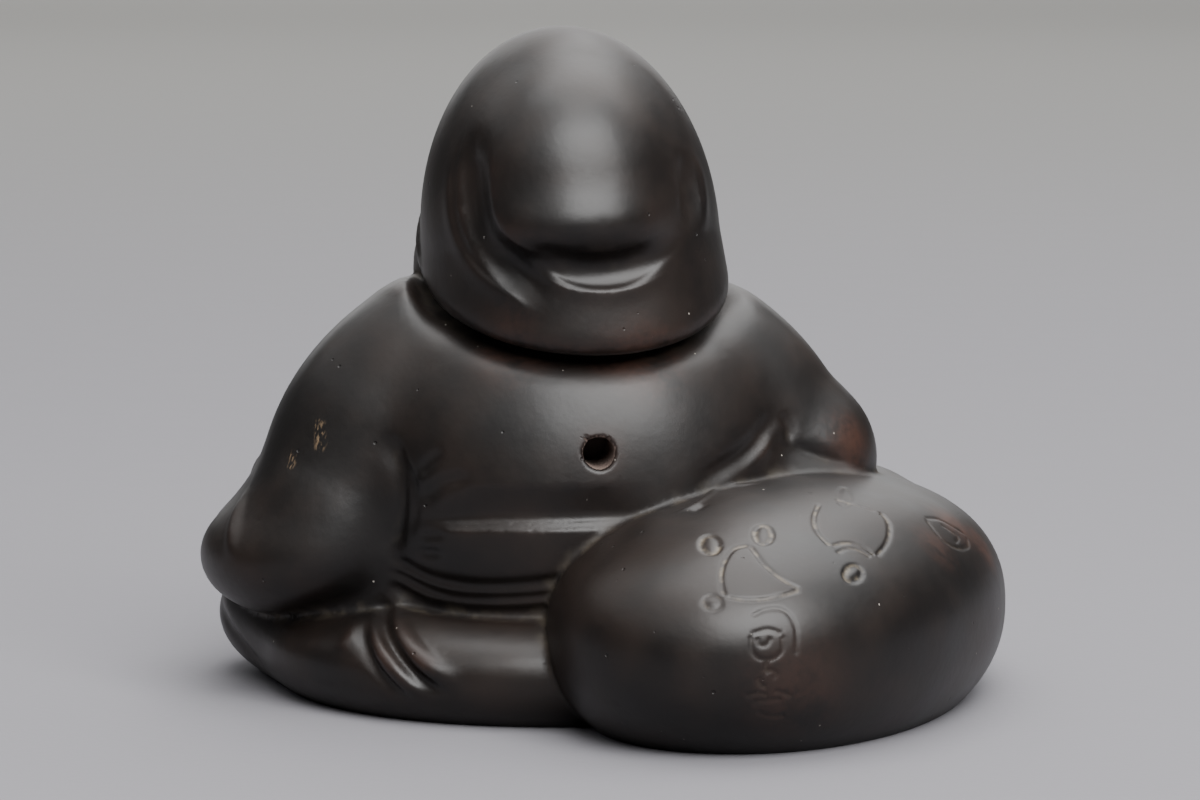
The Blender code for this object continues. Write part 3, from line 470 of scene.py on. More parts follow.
SACK_LINES = (
    # Gathers of its mouth and of its neck below the hand.
    (0, ((-49.2, 55.4), (-46.8, 51.0), (-45.6, 47.0)), -1.5, 1.1, 1.1, 0.2),
    (0, ((-43.6, 55.6), (-43.8, 51.0), (-44.2, 47.0)), -1.5, 1.1, 1.1, 0.2),
    (0, ((-38.0, 55.0), (-41.0, 51.0), (-42.6, 47.0)), -1.5, 1.1, 1.1, 0.2),
    (-80, ((30.0, 54.6), (33.0, 51.0), (35.0, 47.0)), -1.5, 1.1, 1.1, 0.2),
    (180, ((48.0, 55.0), (46.0, 51.0), (45.0, 47.0)), -1.5, 1.1, 1.1, 0.2),
    (180, ((40.0, 55.0), (42.0, 51.0), (43.4, 47.0)), -1.5, 1.1, 1.1, 0.2),
    (-35, ((-26.0, 30.0), (-31.0, 22.0), (-40.0, 15.0)), -1.2, 1.6, 1.6, 0.35),
    (-35, ((-21.0, 29.0), (-22.0, 20.0), (-26.0, 11.0)), -1.2, 1.6, 1.6, 0.35),
    (-60, ((-2.0, 33.0), (-12.0, 28.0), (-24.0, 25.5)), -1.2, 1.6, 1.6, 0.35),
)

# Lines of one half of the face, which the other half mirrors.
FACE_LINES = (
    (0, ((4.4, 82.0), (6.6, 83.2), (9.4, 83.4), (12.2, 82.2), (14.4, 80.0)), -0.8, 0.8, 0.8, 0.2),
    (0, ((3.4, 88.6), (7.4, 90.6), (12.0, 90.3), (16.0, 87.6)), 0.7, 1.2, 1.2, 0.35),
    (0, ((4.0, 74.8), (6.8, 73.0), (8.8, 70.2)), -0.6, 0.9, 0.9, 0.35),
    (0, ((0.0, 70.9), (2.4, 70.7), (4.8, 71.2), (7.0, 72.4)), -0.9, 0.8, 0.8, 0.12),
    (12, ((24.5, 82.0), (22.6, 79.0), (22.8, 74.5), (24.6, 71.5)), -0.8, 0.9, 0.9, 0.2),
)


def folds_of(mass, lines):
    return [fold(drawn(azimuth, way, mass), mass, *shape) for azimuth, way, *shape in lines]


def carved(mass, lines, extra=()):
    """A mass with its lines, whose lift is worked out only close to the skin."""
    folds = folds_of(mass, lines) + list(extra)

    def field(p):
        value = mass(p)
        near = np.abs(value) < BAND
        q = p[near]
        lift = np.zeros(len(q))
        for one in folds:
            lift += fold_rise(q, *one)
        value[near] -= lift
        return value

    return field


def both_sides(lines):
    """Lines of one half, and the same lines mirrored on the other."""
    mirrored = []
    for azimuth, way, rise, left, right, taper in lines:
        mirrored.append((-azimuth, [(-across, up) for across, up in way], rise, right, left, taper))
    return list(lines) + mirrored


def statue_field(on_sack=(), vent_size=(VENT_DIAMETER, VENT_DEPTH)):
    """The whole figure as one field, with more lines on its sack, and a vent of a diameter and depth."""
    robe = carved(clothes, ROBE_LINES)
    bag = carved(sack, SACK_LINES, on_sack)
    face = carved(head, both_sides(FACE_LINES))
    hat = carved(cap, CAP_LINES)

    def field(p):
        value = joined(robe(p), mallet(p), 0.8)
        value = joined(value, fist(p, (38.0, -38.5, 29.5), 1.0), 0.8)
        value = joined(value, bag(p), 1.2)
        value = joined(value, fist(p, (-44.5, -37.0, 41.0), -1.0), 0.8)
        value = joined(value, joined(face(p), hat(p), 0.8), 0.8)
        return cut(value, vent(p, *vent_size), 0.8)

    return field


# Skin


def skin_of(values, low, step):
    """Triangles where the field changes sign, found in six tetrahedra per cell so that they close."""
    strides = np.array([values.shape[1] * values.shape[2], values.shape[2], 1])
    flat = values.reshape(-1)
    inside = values < 0.0
    some = np.zeros(tuple(n - 1 for n in values.shape), int)
    for corner in range(8):
        x, y, z = corner & 1, corner >> 1 & 1, corner >> 2
        some += inside[x : x + some.shape[0], y : y + some.shape[1], z : z + some.shape[2]]
    cells = np.argwhere((some > 0) & (some < 8)) @ strides
    corners = np.array([[c & 1, c >> 1 & 1, c >> 2] for c in range(8)]) @ strides
    ends = []
    for tetrahedron in TETRAHEDRA:
        a, b, c, d = [cells + corners[k] for k in tetrahedron]
        for near, far in ((a, (b, c, d)), (b, (a, d, c)), (c, (a, b, d)), (d, (a, c, b))):
            for wanted in (True, False):
                hit = (flat[near] < 0.0) == wanted
                for other in far:
                    hit &= (flat[other] < 0.0) != wanted
                trio = [np.stack([near[hit], other[hit]], axis=1) for other in far]
                ends.append(np.stack(trio if wanted else trio[::-1], axis=1))
        pairs = ((a, b, c, d), (a, c, d, b), (a, d, b, c), (b, c, a, d), (b, d, c, a), (c, d, a, b))
        for p, q, r, t in pairs:
            hit = (flat[p] < 0.0) & (flat[q] < 0.0) & (flat[r] >= 0.0) & (flat[t] >= 0.0)
            round_it = ((p, r), (p, t), (q, t), (q, r))
            quad = [np.stack([one[hit], two[hit]], axis=1) for one, two in round_it]
            ends.append(np.stack([quad[0], quad[1], quad[2]], axis=1))
            ends.append(np.stack([quad[0], quad[2], quad[3]], axis=1))
    ends = np.sort(np.concatenate(ends).reshape(-1, 2), axis=1)
    edges, faces = np.unique(ends[:, 0] * flat.size + ends[:, 1], return_inverse=True)
    one, two = edges // flat.size, edges % flat.size
    share = np.clip(flat[one] / (flat[one] - flat[two]), 0.04, 0.96)[:, None]
    places = [np.stack(np.unravel_index(k, values.shape), axis=1) for k in (one, two)]
    points = (places[0] * (1.0 - share) + places[1] * share) * step + np.array(low)
    return points, faces.reshape(-1, 3)


def outer_skin(points, faces):
    """The largest skin alone, so that small voids between the masses are solid clay."""
    label = np.arange(len(points))
    while True:
        lowest = label.copy()
        np.minimum.at(lowest, faces.ravel(), np.repeat(label[faces].min(axis=1), 3))
        lowest = lowest[lowest]
        if np.array_equal(lowest, label):
            break
        label = lowest
    largest = np.bincount(label).argmax()
    kept, faces = np.unique(faces[label[faces[:, 0]] == largest], return_inverse=True)
    return points[kept], faces.reshape(-1, 3)


def slope_of(points, field):
    steps = SLOPE_STEP * np.eye(3)
    differences = [field(points + d) - field(points - d) for d in steps]
    return np.stack(differences, axis=1) / (2.0 * SLOPE_STEP)


def settled(points, field, rounds=2, most=0.25):
    """Points moved along the field's slope until they lie on the surface."""
    points = points.copy()
    for _ in range(rounds):
        slope = slope_of(points, field)
        step = slope * (field(points) / (np.sum(slope * slope, axis=1) + 1e-6))[:, None]
        length = np.linalg.norm(step, axis=1, keepdims=True) + 1e-9
        points -= step * np.minimum(1.0, most / length)
    return points


# Marks pressed into the sack

# Each is drawn across and up, seen level from this azimuth, with its share of a mark's full depth.
MARK_AZIMUTH = 173

# Small rings, each with the place of its centre, its radius and its share of the depth. They are drawn
# lower than wide, because the sack slopes away from this view.
RING_FLATNESS = 0.7
RING_MARKS = (
    (23.8, 35.2, 1.65, 0.9),
    (33.0, 36.5, 1.65, 0.9),
    (23.9, 27.3, 1.5, 0.6),
    (48.3, 30.4, 1.65, 1.0),
    (48.2, 39.7, 1.2, 0.35),
)

LINE_MARKS = (
    # A rounded three-sided shape.
    (((30.5, 35.3), (27.9, 34.8), (26.3, 33.4), (25.5, 31.5), (25.6, 29.5), (26.1, 28.2)), 1.0),
    (((26.1, 28.2), (28.6, 27.8), (31.1, 27.7), (34.0, 27.9), (36.6, 28.4), (39.0, 28.9)), 1.0),
    (((30.5, 35.3), (31.6, 34.1), (33.0, 32.6), (35.0, 31.1), (37.2, 29.8), (39.0, 28.9)), 1.0),
    # A shape like a scale's weight, with a second arc below it.
    (((46.3, 39.8), (48.4, 39.3), (51.2, 38.5), (53.5, 37.7)), 0.5),
    (((43.4, 39.6), (42.2, 38.3), (42.2, 37.0), (43.2, 35.7), (44.7, 34.5)), 1.0),
    (((44.7, 34.5), (46.7, 34.7), (48.7, 34.5), (50.8, 33.6), (52.5, 32.4)), 1.0),
    (((45.5, 33.5), (47.1, 33.9), (48.9, 33.7), (50.5, 33.0), (51.7, 32.2)), 0.6),
    (((54.4, 37.6), (55.6, 36.2), (55.5, 34.8), (54.5, 33.5), (52.6, 32.3)), 0.9),
    # A worn oval with a curl in it.
    (((62.9, 35.3), (64.5, 33.3), (66.0, 31.8), (68.7, 30.1), (71.0, 29.7), (70.9, 31.1)), 0.45),
    (((70.9, 31.1), (68.2, 33.0), (65.6, 34.5), (62.9, 35.3)), 0.35),
    (((65.8, 33.9), (67.6, 32.7), (69.1, 31.4), (68.2, 30.9)), 0.4),
    # An arch over a rounded box, and rows of short strokes below it.
    (((30.2, 25.2), (32.8, 26.2), (35.3, 26.2), (37.0, 25.1), (38.0, 22.8), (38.0, 18.4)), 0.45),
    (((30.3, 22.5), (30.5, 19.8), (31.8, 18.4), (34.0, 18.3), (35.6, 19.6), (35.6, 22.3)), 0.5),
    (((35.6, 22.3), (33.2, 23.1), (30.3, 22.5)), 0.5),
    (((31.3, 22.0), (31.8, 20.7), (33.0, 20.7), (33.7, 21.9)), 0.4),
    (((32.9, 17.9), (32.7, 16.2)), 0.6),
    (((31.3, 15.2), (32.0, 13.8), (33.1, 13.4)), 0.6),
    (((32.5, 15.8), (33.5, 16.3), (34.6, 15.7), (33.9, 14.8)), 0.6),
    (((29.4, 11.9), (31.4, 12.4), (33.2, 12.0)), 0.5),
    (((30.5, 10.8), (33.3, 11.1), (35.6, 11.3)), 0.5),
    (((34.2, 12.8), (36.0, 12.2), (37.3, 11.5)), 0.5),
    (((31.4, 9.1), (33.7, 8.1), (36.2, 8.1)), 0.5),
)

# Lips of cloth where the sleeve lies on the sack, given like the lines of the robe.
LIP_LINES = (
    (MARK_AZIMUTH, ((17.2, 38.2), (19.7, 38.8), (21.8, 39.5), (23.3, 40.0), (25.2, 40.6), (26.6, 40.9),
                    (34.0, 41.5)), 0.5, 0.55, 0.75, 0.2),
    (MARK_AZIMUTH, ((20.8, 38.6), (22.4, 39.2), (23.9, 39.7)), -0.9, 0.8, 0.7, 0.4),
)


def ring_way(across, up, radius):
    """A closed way round a place, in the marks' level view."""
    turns = np.linspace(0.0, 2.0 * math.pi, 25)
    return [(across + radius * math.cos(a), up + RING_FLATNESS * radius * math.sin(a)) for a in turns]


def mark_folds(width, depth):
    """The pressed marks as sunk lines on the sack."""
    folds = []
    for across, up, radius, share in RING_MARKS:
        way = drawn(MARK_AZIMUTH, ring_way(across, up, radius), sack, spacing=0.35)
        folds.append(fold(way, sack, -depth * share, 2.0 * width, width, 0.0))
    for points, share in LINE_MARKS:
        way = drawn(MARK_AZIMUTH, points, sack, spacing=0.35)
        folds.append(fold(way, sack, -depth * share, width, width, 0.06))
    return folds


def vent_mouth():
    """Where the vent opens in the skin of the back."""
    return drawn(180, ((-VENT_SIDE, VENT_HEIGHT), (-VENT_SIDE + 0.1, VENT_HEIGHT)), clothes)[0]


def vent(p, diameter, depth):
    """The round vent, whose edge is a little uneven and chipped above."""
    mouth = vent_mouth()
    x, z = p[:, 0] - mouth[0], p[:, 2] - mouth[2]
    inward = mouth[1] - p[:, 1]
    angle = np.arctan2(z, x)
    out = np.hypot(x, z) - diameter / 2.0 - 0.06 * np.sin(3.0 * angle + 0.7)
    chip = np.exp(-(((angle - 1.35) / 0.5) ** 2)) * np.clip(1.1 - inward, 0.0, 1.1)
    return np.maximum(out - 0.45 * chip, inward - depth)


# Fine skin


def far_from_skin(field, low, high, step):
    """Values of the field on a grid. Blocks that the skin can't pass through only get their sign."""
    counts = [math.ceil((b - a) / step / BLOCK) * BLOCK for a, b in zip(low, high)]
    axes = [a + step * (np.arange(n // BLOCK) * BLOCK + (BLOCK - 1) / 2.0) for a, n in zip(low, counts)]
    centres = np.stack(np.meshgrid(*axes, indexing="ij"), axis=-1).reshape(-1, 3)
    rough = field(centres)
    near = np.abs(rough) < BLOCK_REACH
    offsets = np.stack(np.meshgrid(*[np.arange(BLOCK)] * 3, indexing="ij"), axis=-1).reshape(-1, 3)
    within = step * (offsets - (BLOCK - 1) / 2.0)
    filled = np.repeat(rough[:, None], BLOCK**3, axis=1)
    filled[near] = field((centres[near][:, None] + within[None]).reshape(-1, 3)).reshape(-1, BLOCK**3)
    blocks = [n // BLOCK for n in counts]
    values = filled.reshape(*blocks, BLOCK, BLOCK, BLOCK).transpose(0, 3, 1, 4, 2, 5)
    return values.reshape(counts)


def relaxed(points, faces, rounds):
    """Points drawn towards the middle of their neighbours, which evens out the triangles."""
    ends = np.concatenate([faces[:, [0, 1]], faces[:, [1, 2]], faces[:, [2, 0]]])
    count = np.bincount(ends[:, 0], minlength=len(points))[:, None]
    for _ in range(rounds):
        total = np.zeros_like(points)
        np.add.at(total, ends[:, 0], points[ends[:, 1]])
        points = 0.5 * points + 0.5 * total / count
    return points


def thinned(points, faces, triangles):
    """Fewer triangles, which stay where the skin bends."""
    mesh = bpy.data.meshes.new("thinned")
    mesh.from_pydata(points.tolist(), [], faces.tolist())
    obj = bpy.data.objects.new("thinned", mesh)
    bpy.context.scene.collection.objects.link(obj)
    step = obj.modifiers.new("Decimate", "DECIMATE")
    step.ratio = triangles / len(faces)
    bpy.context.view_layer.update()
    result = obj.evaluated_get(bpy.context.evaluated_depsgraph_get()).to_mesh()
    result.calc_loop_triangles()
    points = np.array([v.co for v in result.vertices])
    faces = np.array([t.vertices for t in result.loop_triangles])
    bpy.data.objects.remove(obj)
    bpy.data.meshes.remove(mesh)
    return points, faces


def refined(points, faces, wanted):
    """Every edge that is too long for its place is split in half, and its triangles with it."""
    sides = np.sort(np.stack([faces, np.roll(faces, -1, axis=1)], axis=2).reshape(-1, 2), axis=1)
    keys, where = np.unique(sides[:, 0] * len(points) + sides[:, 1], return_inverse=True)
    one, two = keys // len(points), keys % len(points)
    middle = (points[one] + points[two]) / 2.0
    split = np.linalg.norm(points[one] - points[two], axis=1) > 1.4 * wanted(middle)
    number = np.full(len(keys), -1)
    number[split] = len(points) + np.arange(split.sum())
    halves = number[where.reshape(-1)].reshape(-1, 3)
    count = (halves >= 0).sum(axis=1)
    # Each triangle is turned until its first side is split, or until its third one isn't if two are.
    turn = np.where(count == 1, np.argmax(halves >= 0, axis=1), 0)
    turn = np.where(count == 2, (np.argmin(halves >= 0, axis=1) + 1) % 3, turn)
    order = (turn[:, None] + np.arange(3)) % 3
    a, b, c = np.take_along_axis(faces, order, axis=1).T
    ab, bc, ca = np.take_along_axis(halves, order, axis=1).T
    parts = []
    for splits, pieces in (
        (0, ((a, b, c),)),
        (1, ((a, ab, c), (ab, b, c))),
        (2, ((ab, b, bc), (a, ab, bc), (a, bc, c))),
        (3, ((a, ab, ca), (ab, b, bc), (ca, bc, c), (ab, bc, ca))),
    ):
        for trio in pieces:
            parts.append(np.stack(trio, axis=1)[count == splits])
    return np.concatenate([points, middle[split]]), np.concatenate(parts)


def edge_lengths(lines, spots, crowd):
    """How long an edge may be at a place: short beside thin lines and spots and in the creases between
    masses, and longer away from them."""
    places, sizes = [], []
    for line, _, _, left, right, _, straight in lines:
        places.extend(line)
        size = SHARP_EDGE if straight else max(SHORT_EDGE, 0.5 * min(left, right))
        sizes.extend([size] * len(line))
    for spot in spots:
        places.append(spot)
        sizes.append(SHORT_EDGE)
    tree = KDTree(len(places))
    for number, place in enumerate(places):
        tree.insert(place, number)
    tree.balance()

    def wanted(points):
        found = [tree.find(p)[1:] for p in points]
        away = np.array([distance for _, distance in found])
        size = np.array([sizes[number] for number, _ in found])
        length = size + EDGE_GROWTH * np.maximum(away - 3.0 * size, 0.0)
        x, y, z = points.T
        face = (np.abs(x) < 20.0) & (y < -14.0) & (z > 60.0) & (z < 95.0)
        hands = (y < -30.0) & (np.abs(x) > 24.0) & (z > 18.0) & (z < 62.0)
        crease = crowd(points) > CREASE_CROWD
        return np.minimum(length, np.where(face | hands | crease, FEATURE_EDGE, BROAD_EDGE))

    return wanted


def crowding(values, low, step, reach):
    """How much clay lies round a point: near 1 in a deep hollow, 0.5 on flat skin, near 0 on an edge."""
    clay = (values < 0.0).astype(float)
    for axis in range(3):
        total = np.cumsum(clay, axis=axis)
        total = np.concatenate([np.zeros_like(total.take([0], axis=axis)), total], axis=axis)
        count = clay.shape[axis]
        last = np.minimum(np.arange(count) + reach + 1, count)
        first = np.maximum(np.arange(count) - reach, 0)
        clay = (total.take(last, axis=axis) - total.take(first, axis=axis)) / (2 * reach + 1)

    def crowd(points):
        at = np.clip((points - np.array(low)) / step, 0.0, np.array(clay.shape) - 1.001)
        cell = at.astype(int)
        part = at - cell
        result = np.zeros(len(points))
        for corner in range(8):
            side = np.array([corner & 1, corner >> 1 & 1, corner >> 2])
            weight = np.prod(np.where(side, part, 1.0 - part), axis=1)
            result += weight * clay[tuple((cell + side).T)]
        return result

    return crowd


def cut_flat(mesh):
    """Cuts the mesh off at the floor and fills the flat underside."""
    work = bmesh.new()
    work.from_mesh(mesh)
    everything = work.verts[:] + work.edges[:] + work.faces[:]
    made = bmesh.ops.bisect_plane(
        work, geom=everything, dist=1e-6, plane_co=(0, 0, 0), plane_no=(0, 0, 1), clear_inner=True
    )
    rim = [e for e in made["geom_cut"] if isinstance(e, bmesh.types.BMEdge)]
    filled = bmesh.ops.holes_fill(work, edges=rim, sides=0)
    bmesh.ops.triangulate(work, faces=filled["faces"])
    bmesh.ops.recalc_face_normals(work, faces=work.faces[:])
    work.to_mesh(mesh)
    work.free()


def keep_values(mesh, name, values):
    """Values for the finish, one at each vertex."""
    layer = mesh.attributes.new(name, "FLOAT", "POINT")
    layer.data.foreach_set("value", values.astype(np.float32))


# Finish

# Residue fills a mark between two shares of its depth, and gets thinner between two heights on the sack.
RESIDUE_DEPTHS = (0.25, 0.875)
RESIDUE_HEIGHTS = (23.4, 30.6)
LOW_RESIDUE = 0.2

# Raw clay shows within this share of the vent's diameter and deeper than its lip.
VENT_REACH = 0.53
VENT_LIP = 0.5

# Heights of the relief of the clay and of the floor, in metres.
GRAIN_HEIGHT = 0.00006
SWELL_HEIGHT = 0.0007
SPECK_HEIGHT = 0.00004
PIT_DEPTH = 0.00022
WEAVE_HEIGHT = 0.00006
CREASE_HEIGHT = 0.0008

# Distance between the grains in the clay, in metres.
GRAIN_SPACING = 0.0034
CLAY_ROUGHNESS = 0.43


class Socket:
    """An output of a finish, on which arithmetic adds Math nodes."""

    def __init__(self, finish, link):
        self.finish = finish
        self.link = link

    def maths(self, operation, *values):
        return self.finish.node("ShaderNodeMath", {"operation": operation}, dict(enumerate(values)))

    def __add__(self, other):
        return self.maths("ADD", self, other)

    __radd__ = __add__

    def __sub__(self, other):
        return self.maths("SUBTRACT", self, other)

    def __rsub__(self, other):
        return self.maths("SUBTRACT", other, self)

    def __mul__(self, other):
        return self.maths("MULTIPLY", self, other)

    __rmul__ = __mul__

    def __truediv__(self, other):
        return self.maths("DIVIDE", self, other)

    def at_most(self, other):
        return self.maths("MINIMUM", self, other)

    def at_least(self, other):
        return self.maths("MAXIMUM", self, other)

    def between(self, low, high):
        """A smooth step from 0 at low to 1 at high."""
        return self.finish.node(
            "ShaderNodeMapRange",
            {"interpolation_type": "SMOOTHSTEP"},
            {"Value": self, "From Min": low, "From Max": high},
        )


class Finish:
    """A material and what its nodes are made with."""

    def __init__(self, name):
        self.material = bpy.data.materials.new(name)
        self.material.use_nodes = True
        self.tree = self.material.node_tree
        self.shader = self.tree.nodes["Principled BSDF"]
        self.place = self.node("ShaderNodeTexCoord", output="Object")

    def node(self, kind, settings=None, inputs=None, output=0):
        made = self.tree.nodes.new(kind)
        for name, value in (settings or {}).items():
            setattr(made, name, value)
        for name, value in (inputs or {}).items():
            self.feed(made.inputs[name], value)
        return Socket(self, made.outputs[output])

    def feed(self, socket, value):
        if isinstance(value, Socket):
            self.tree.links.new(value.link, socket)
        else:
            socket.default_value = value

    def set(self, **values):
        for name, value in values.items():
            self.feed(self.shader.inputs[name.replace("_", " ").title().replace("Ior", "IOR")], value)

    def kept(self, name):
        return self.node("ShaderNodeAttribute", {"attribute_name": name}, output="Fac")

    def noise(self, size, detail=3.0, place=None):
        """Noise whose features are about one size, in metres."""
        inputs = {"Vector": place or self.place, "Scale": 1.0 / size, "Detail": detail}
        return self.node("ShaderNodeTexNoise", None, inputs)

    def mix(self, a, b, share):
        """A colour from a to b."""
        return self.node(
            "ShaderNodeMix", {"data_type": "RGBA"}, {"Factor": share, 6: a, 7: b}, output=2
        )

    def stretched(self, x, y, z):
        return self.node("ShaderNodeVectorMath", {"operation": "MULTIPLY"}, {0: self.place, 1: (x, y, z)})

    def away(self, centre):
        """The distance from a place, given in parts, and counted in parts."""
        metres = tuple(value * PART for value in centre)
        inputs = {0: self.place, 1: metres}
        return self.node("ShaderNodeVectorMath", {"operation": "DISTANCE"}, inputs, output="Value") / PART


# Worn places, each with its centre, its radius and how worn it is.
WORN_PLACES = (
    ((-66.0, 26.5, 32.9), 7.0, 0.8),
    ((-72.0, 23.0, 28.5), 6.5, 0.9),
    ((-59.5, 41.3, 31.8), 7.0, 0.45),
    ((-50.0, 12.7, 46.7), 8.0, 0.7),
    ((-8.0, 28.0, 65.0), 12.0, 0.5),
    ((14.0, 26.0, 66.0), 10.0, 0.4),
    ((-30.0, 74.0, 12.0), 14.0, 0.3),
    ((-6.0, 52.0, 14.0), 12.0, 0.45),
)
SCRATCHED_PLACES = (
    ((47.4, 13.0, 51.0), 1.7, 0.4),
    ((47.3, 13.8, 49.3), 1.7, 0.4),
    ((47.3, 14.5, 47.7), 1.7, 0.4),
    ((52.2, 11.4, 45.5), 1.3, 0.5),
    ((52.3, 12.2, 44.0), 1.3, 0.5),
)


def clay_finish(colours):
    """Dark fired clay with a soft sheen, worn reddish places, pale residue, specks and small pits."""
    clay = Finish("fired_clay")
    broad = clay.noise(0.034, detail=2.0)
    middle = clay.noise(0.009, detail=4.0)
    fine = clay.noise(0.0011, detail=3.0)
    hollow = clay.kept("crowding").between(0.56, 0.74)
    edge = 1.0 - clay.kept("crowding").between(0.28, 0.46)
    mark = clay.kept("mark")
    inside = clay.kept("vent")

    tone = (broad * 0.6 + middle * 0.4).between(0.36, 0.66)
    colour = clay.mix(colours.dark, colours.brown, tone)
    worn = edge * 0.25
    for centre, radius, strength in WORN_PLACES:
        ragged = clay.away(centre) / radius + (middle - 0.5) * 1.6
        worn = worn.at_least((1.0 - ragged.between(0.25, 1.05)) * strength)
    worn = worn * (middle * 0.7 + fine * 0.3).between(0.34, 0.62)
    colour = clay.mix(colour, colours.worn, worn * 0.6)

    upright = clay.noise(0.0005, detail=2.0, place=clay.stretched(1.0, 1.0, 0.12))
    scratched = 0.0
    for centre, radius, strength in SCRATCHED_PLACES:
        scratched = (1.0 - (clay.away(centre) / radius).between(0.3, 1.0)) * strength + scratched
    scratched = scratched * upright.between(0.5, 0.66)
    colour = clay.mix(colour, colours.scratch, scratched)

    dust = hollow * clay.noise(0.004, detail=3.0).between(0.42, 0.7) * 0.1
    residue = mark * clay.noise(0.0022, detail=3.0).between(0.4, 0.64) * 0.36
    colour = clay.mix(colour, colours.residue, dust.at_least(residue))

    grains = {"Vector": clay.place, "Scale": 1.0 / GRAIN_SPACING}
    cells = clay.node("ShaderNodeTexVoronoi", {"feature": "F1"}, grains, output="Distance")
    chosen = clay.noise(0.0052, detail=1.0).between(0.62, 0.66)
    speck = (1.0 - cells.between(0.035, 0.075)) * chosen
    colour = clay.mix(colour, colours.speck, speck * 0.7)
    colour = clay.mix(colour, colours.raw, inside)

    pitted = clay.noise(0.007, detail=1.0).between(0.6, 0.64) * (1.0 - chosen)
    pits = (1.0 - cells.between(0.05, 0.12)) * pitted
    grain = fine * 0.35 + clay.noise(0.0028, detail=4.0) * 0.65
    height = grain * GRAIN_HEIGHT + broad * SWELL_HEIGHT + speck * SPECK_HEIGHT - pits * PIT_DEPTH
    bump = clay.node("ShaderNodeBump", None, {"Strength": 1.0, "Distance": 1.0, "Height": height})

    rough = CLAY_ROUGHNESS + (middle - 0.5) * 0.14 + hollow * 0.2
    rough = rough + speck * 0.3 + inside * 0.4 + scratched * 0.2
    clay.set(base_color=colour, roughness=rough.at_most(1.0), normal=bump)
    clay.set(metallic=0.0, ior=1.38, coat_weight=0.1, coat_roughness=0.3)
    return clay.material


def floor_finish(colours):
    """A plain pale cloth, a little cooler near the figure than far behind it. Its colour is also painted
    darker near the figure and paler far off, as painted shade and light for how the lamps' light falls
    off with distance.
    """
    cloth = Finish("studio_floor")
    # Painted light and shade: the cloth is painted dark round the figure and paler with distance,
    # standing in for how the lamps' light falls off.
    far = cloth.away((0.0, 0.0, 0.0)).between(250.0, 3500.0)
    weave = cloth.noise(0.0016, detail=2.0)
    soft = cloth.noise(0.06, detail=2.0)
    colour = cloth.mix(colours.near, colours.far, far)
    height = weave * WEAVE_HEIGHT + soft * CREASE_HEIGHT
    bump = cloth.node("ShaderNodeBump", None, {"Distance": 1.0, "Height": height})
    cloth.set(base_color=colour, normal=bump, roughness=0.95)
    return cloth.material


# Settings


def colour_property(name, description, value):
    looks = {"subtype": "COLOR", "size": 4, "min": 0.0, "max": 1.0}
    return FloatVectorProperty(name=name, description=description, default=(*value, 1.0), **looks)


def length_property(name, description, millimetres):
    metres = millimetres / 1000.0
    return FloatProperty(name=name, description=description, unit="LENGTH", default=metres)


def power_property(name, description, watts):
    return FloatProperty(name=name, description=description, unit="POWER", min=0.0, default=watts)


class FigureSizes(PropertyGroup):
    mark_width: length_property("Mark width", "Half the width of a mark pressed into the sack", 0.4)
    mark_depth: length_property("Mark depth", "Depth of a mark pressed into the sack", 0.42)
    vent_diameter: length_property("Vent diameter", "Diameter of the vent in the back", VENT_DIAMETER)
    vent_depth: length_property("Vent depth", "Depth of the vent in the back", VENT_DEPTH)


class ClayColours(PropertyGroup):
    dark: colour_property("Dark", "The darkest skin of the clay", (0.0034, 0.0025, 0.0022))
    brown: colour_property("Brown", "The browner skin of the clay", (0.0100, 0.0062, 0.0046))
    worn: colour_property("Worn", "Worn high places", (0.070, 0.030, 0.020))
    scratch: colour_property("Scratch", "Scratches on the left arm", (0.20, 0.135, 0.075))
    residue: colour_property("Residue", "What has settled in the grooves", (0.26, 0.215, 0.15))
    speck: colour_property("Speck", "Pale grains in the skin", (0.42, 0.39, 0.34))
    raw: colour_property("Raw clay", "Unpolished clay inside the vent", (0.135, 0.098, 0.082))


class StudioSettings(PropertyGroup):
    # The near and far floor colours are painted shade and light: dark round the figure and pale far off,
    # for how the lamps' light falls off with distance.
    near: colour_property("Floor near", "The floor round the figure", (0.150, 0.146, 0.158))
    far: colour_property("Floor far", "The floor far behind the figure", (0.50, 0.49, 0.465))
    size: length_property("Floor size", "Width of the floor", 30000.0)
    key: power_property("Key light", "Power of the soft light above the camera", 50.0)
    overhead: power_property("Overhead light", "Power of the large light above", 26.0)
    ceiling: power_property("Ceiling", "Power of the dim wide light above all", 85.0)
    far_light: power_property("Far light", "Power of the light over the far floor", 125.0)


# Pieces


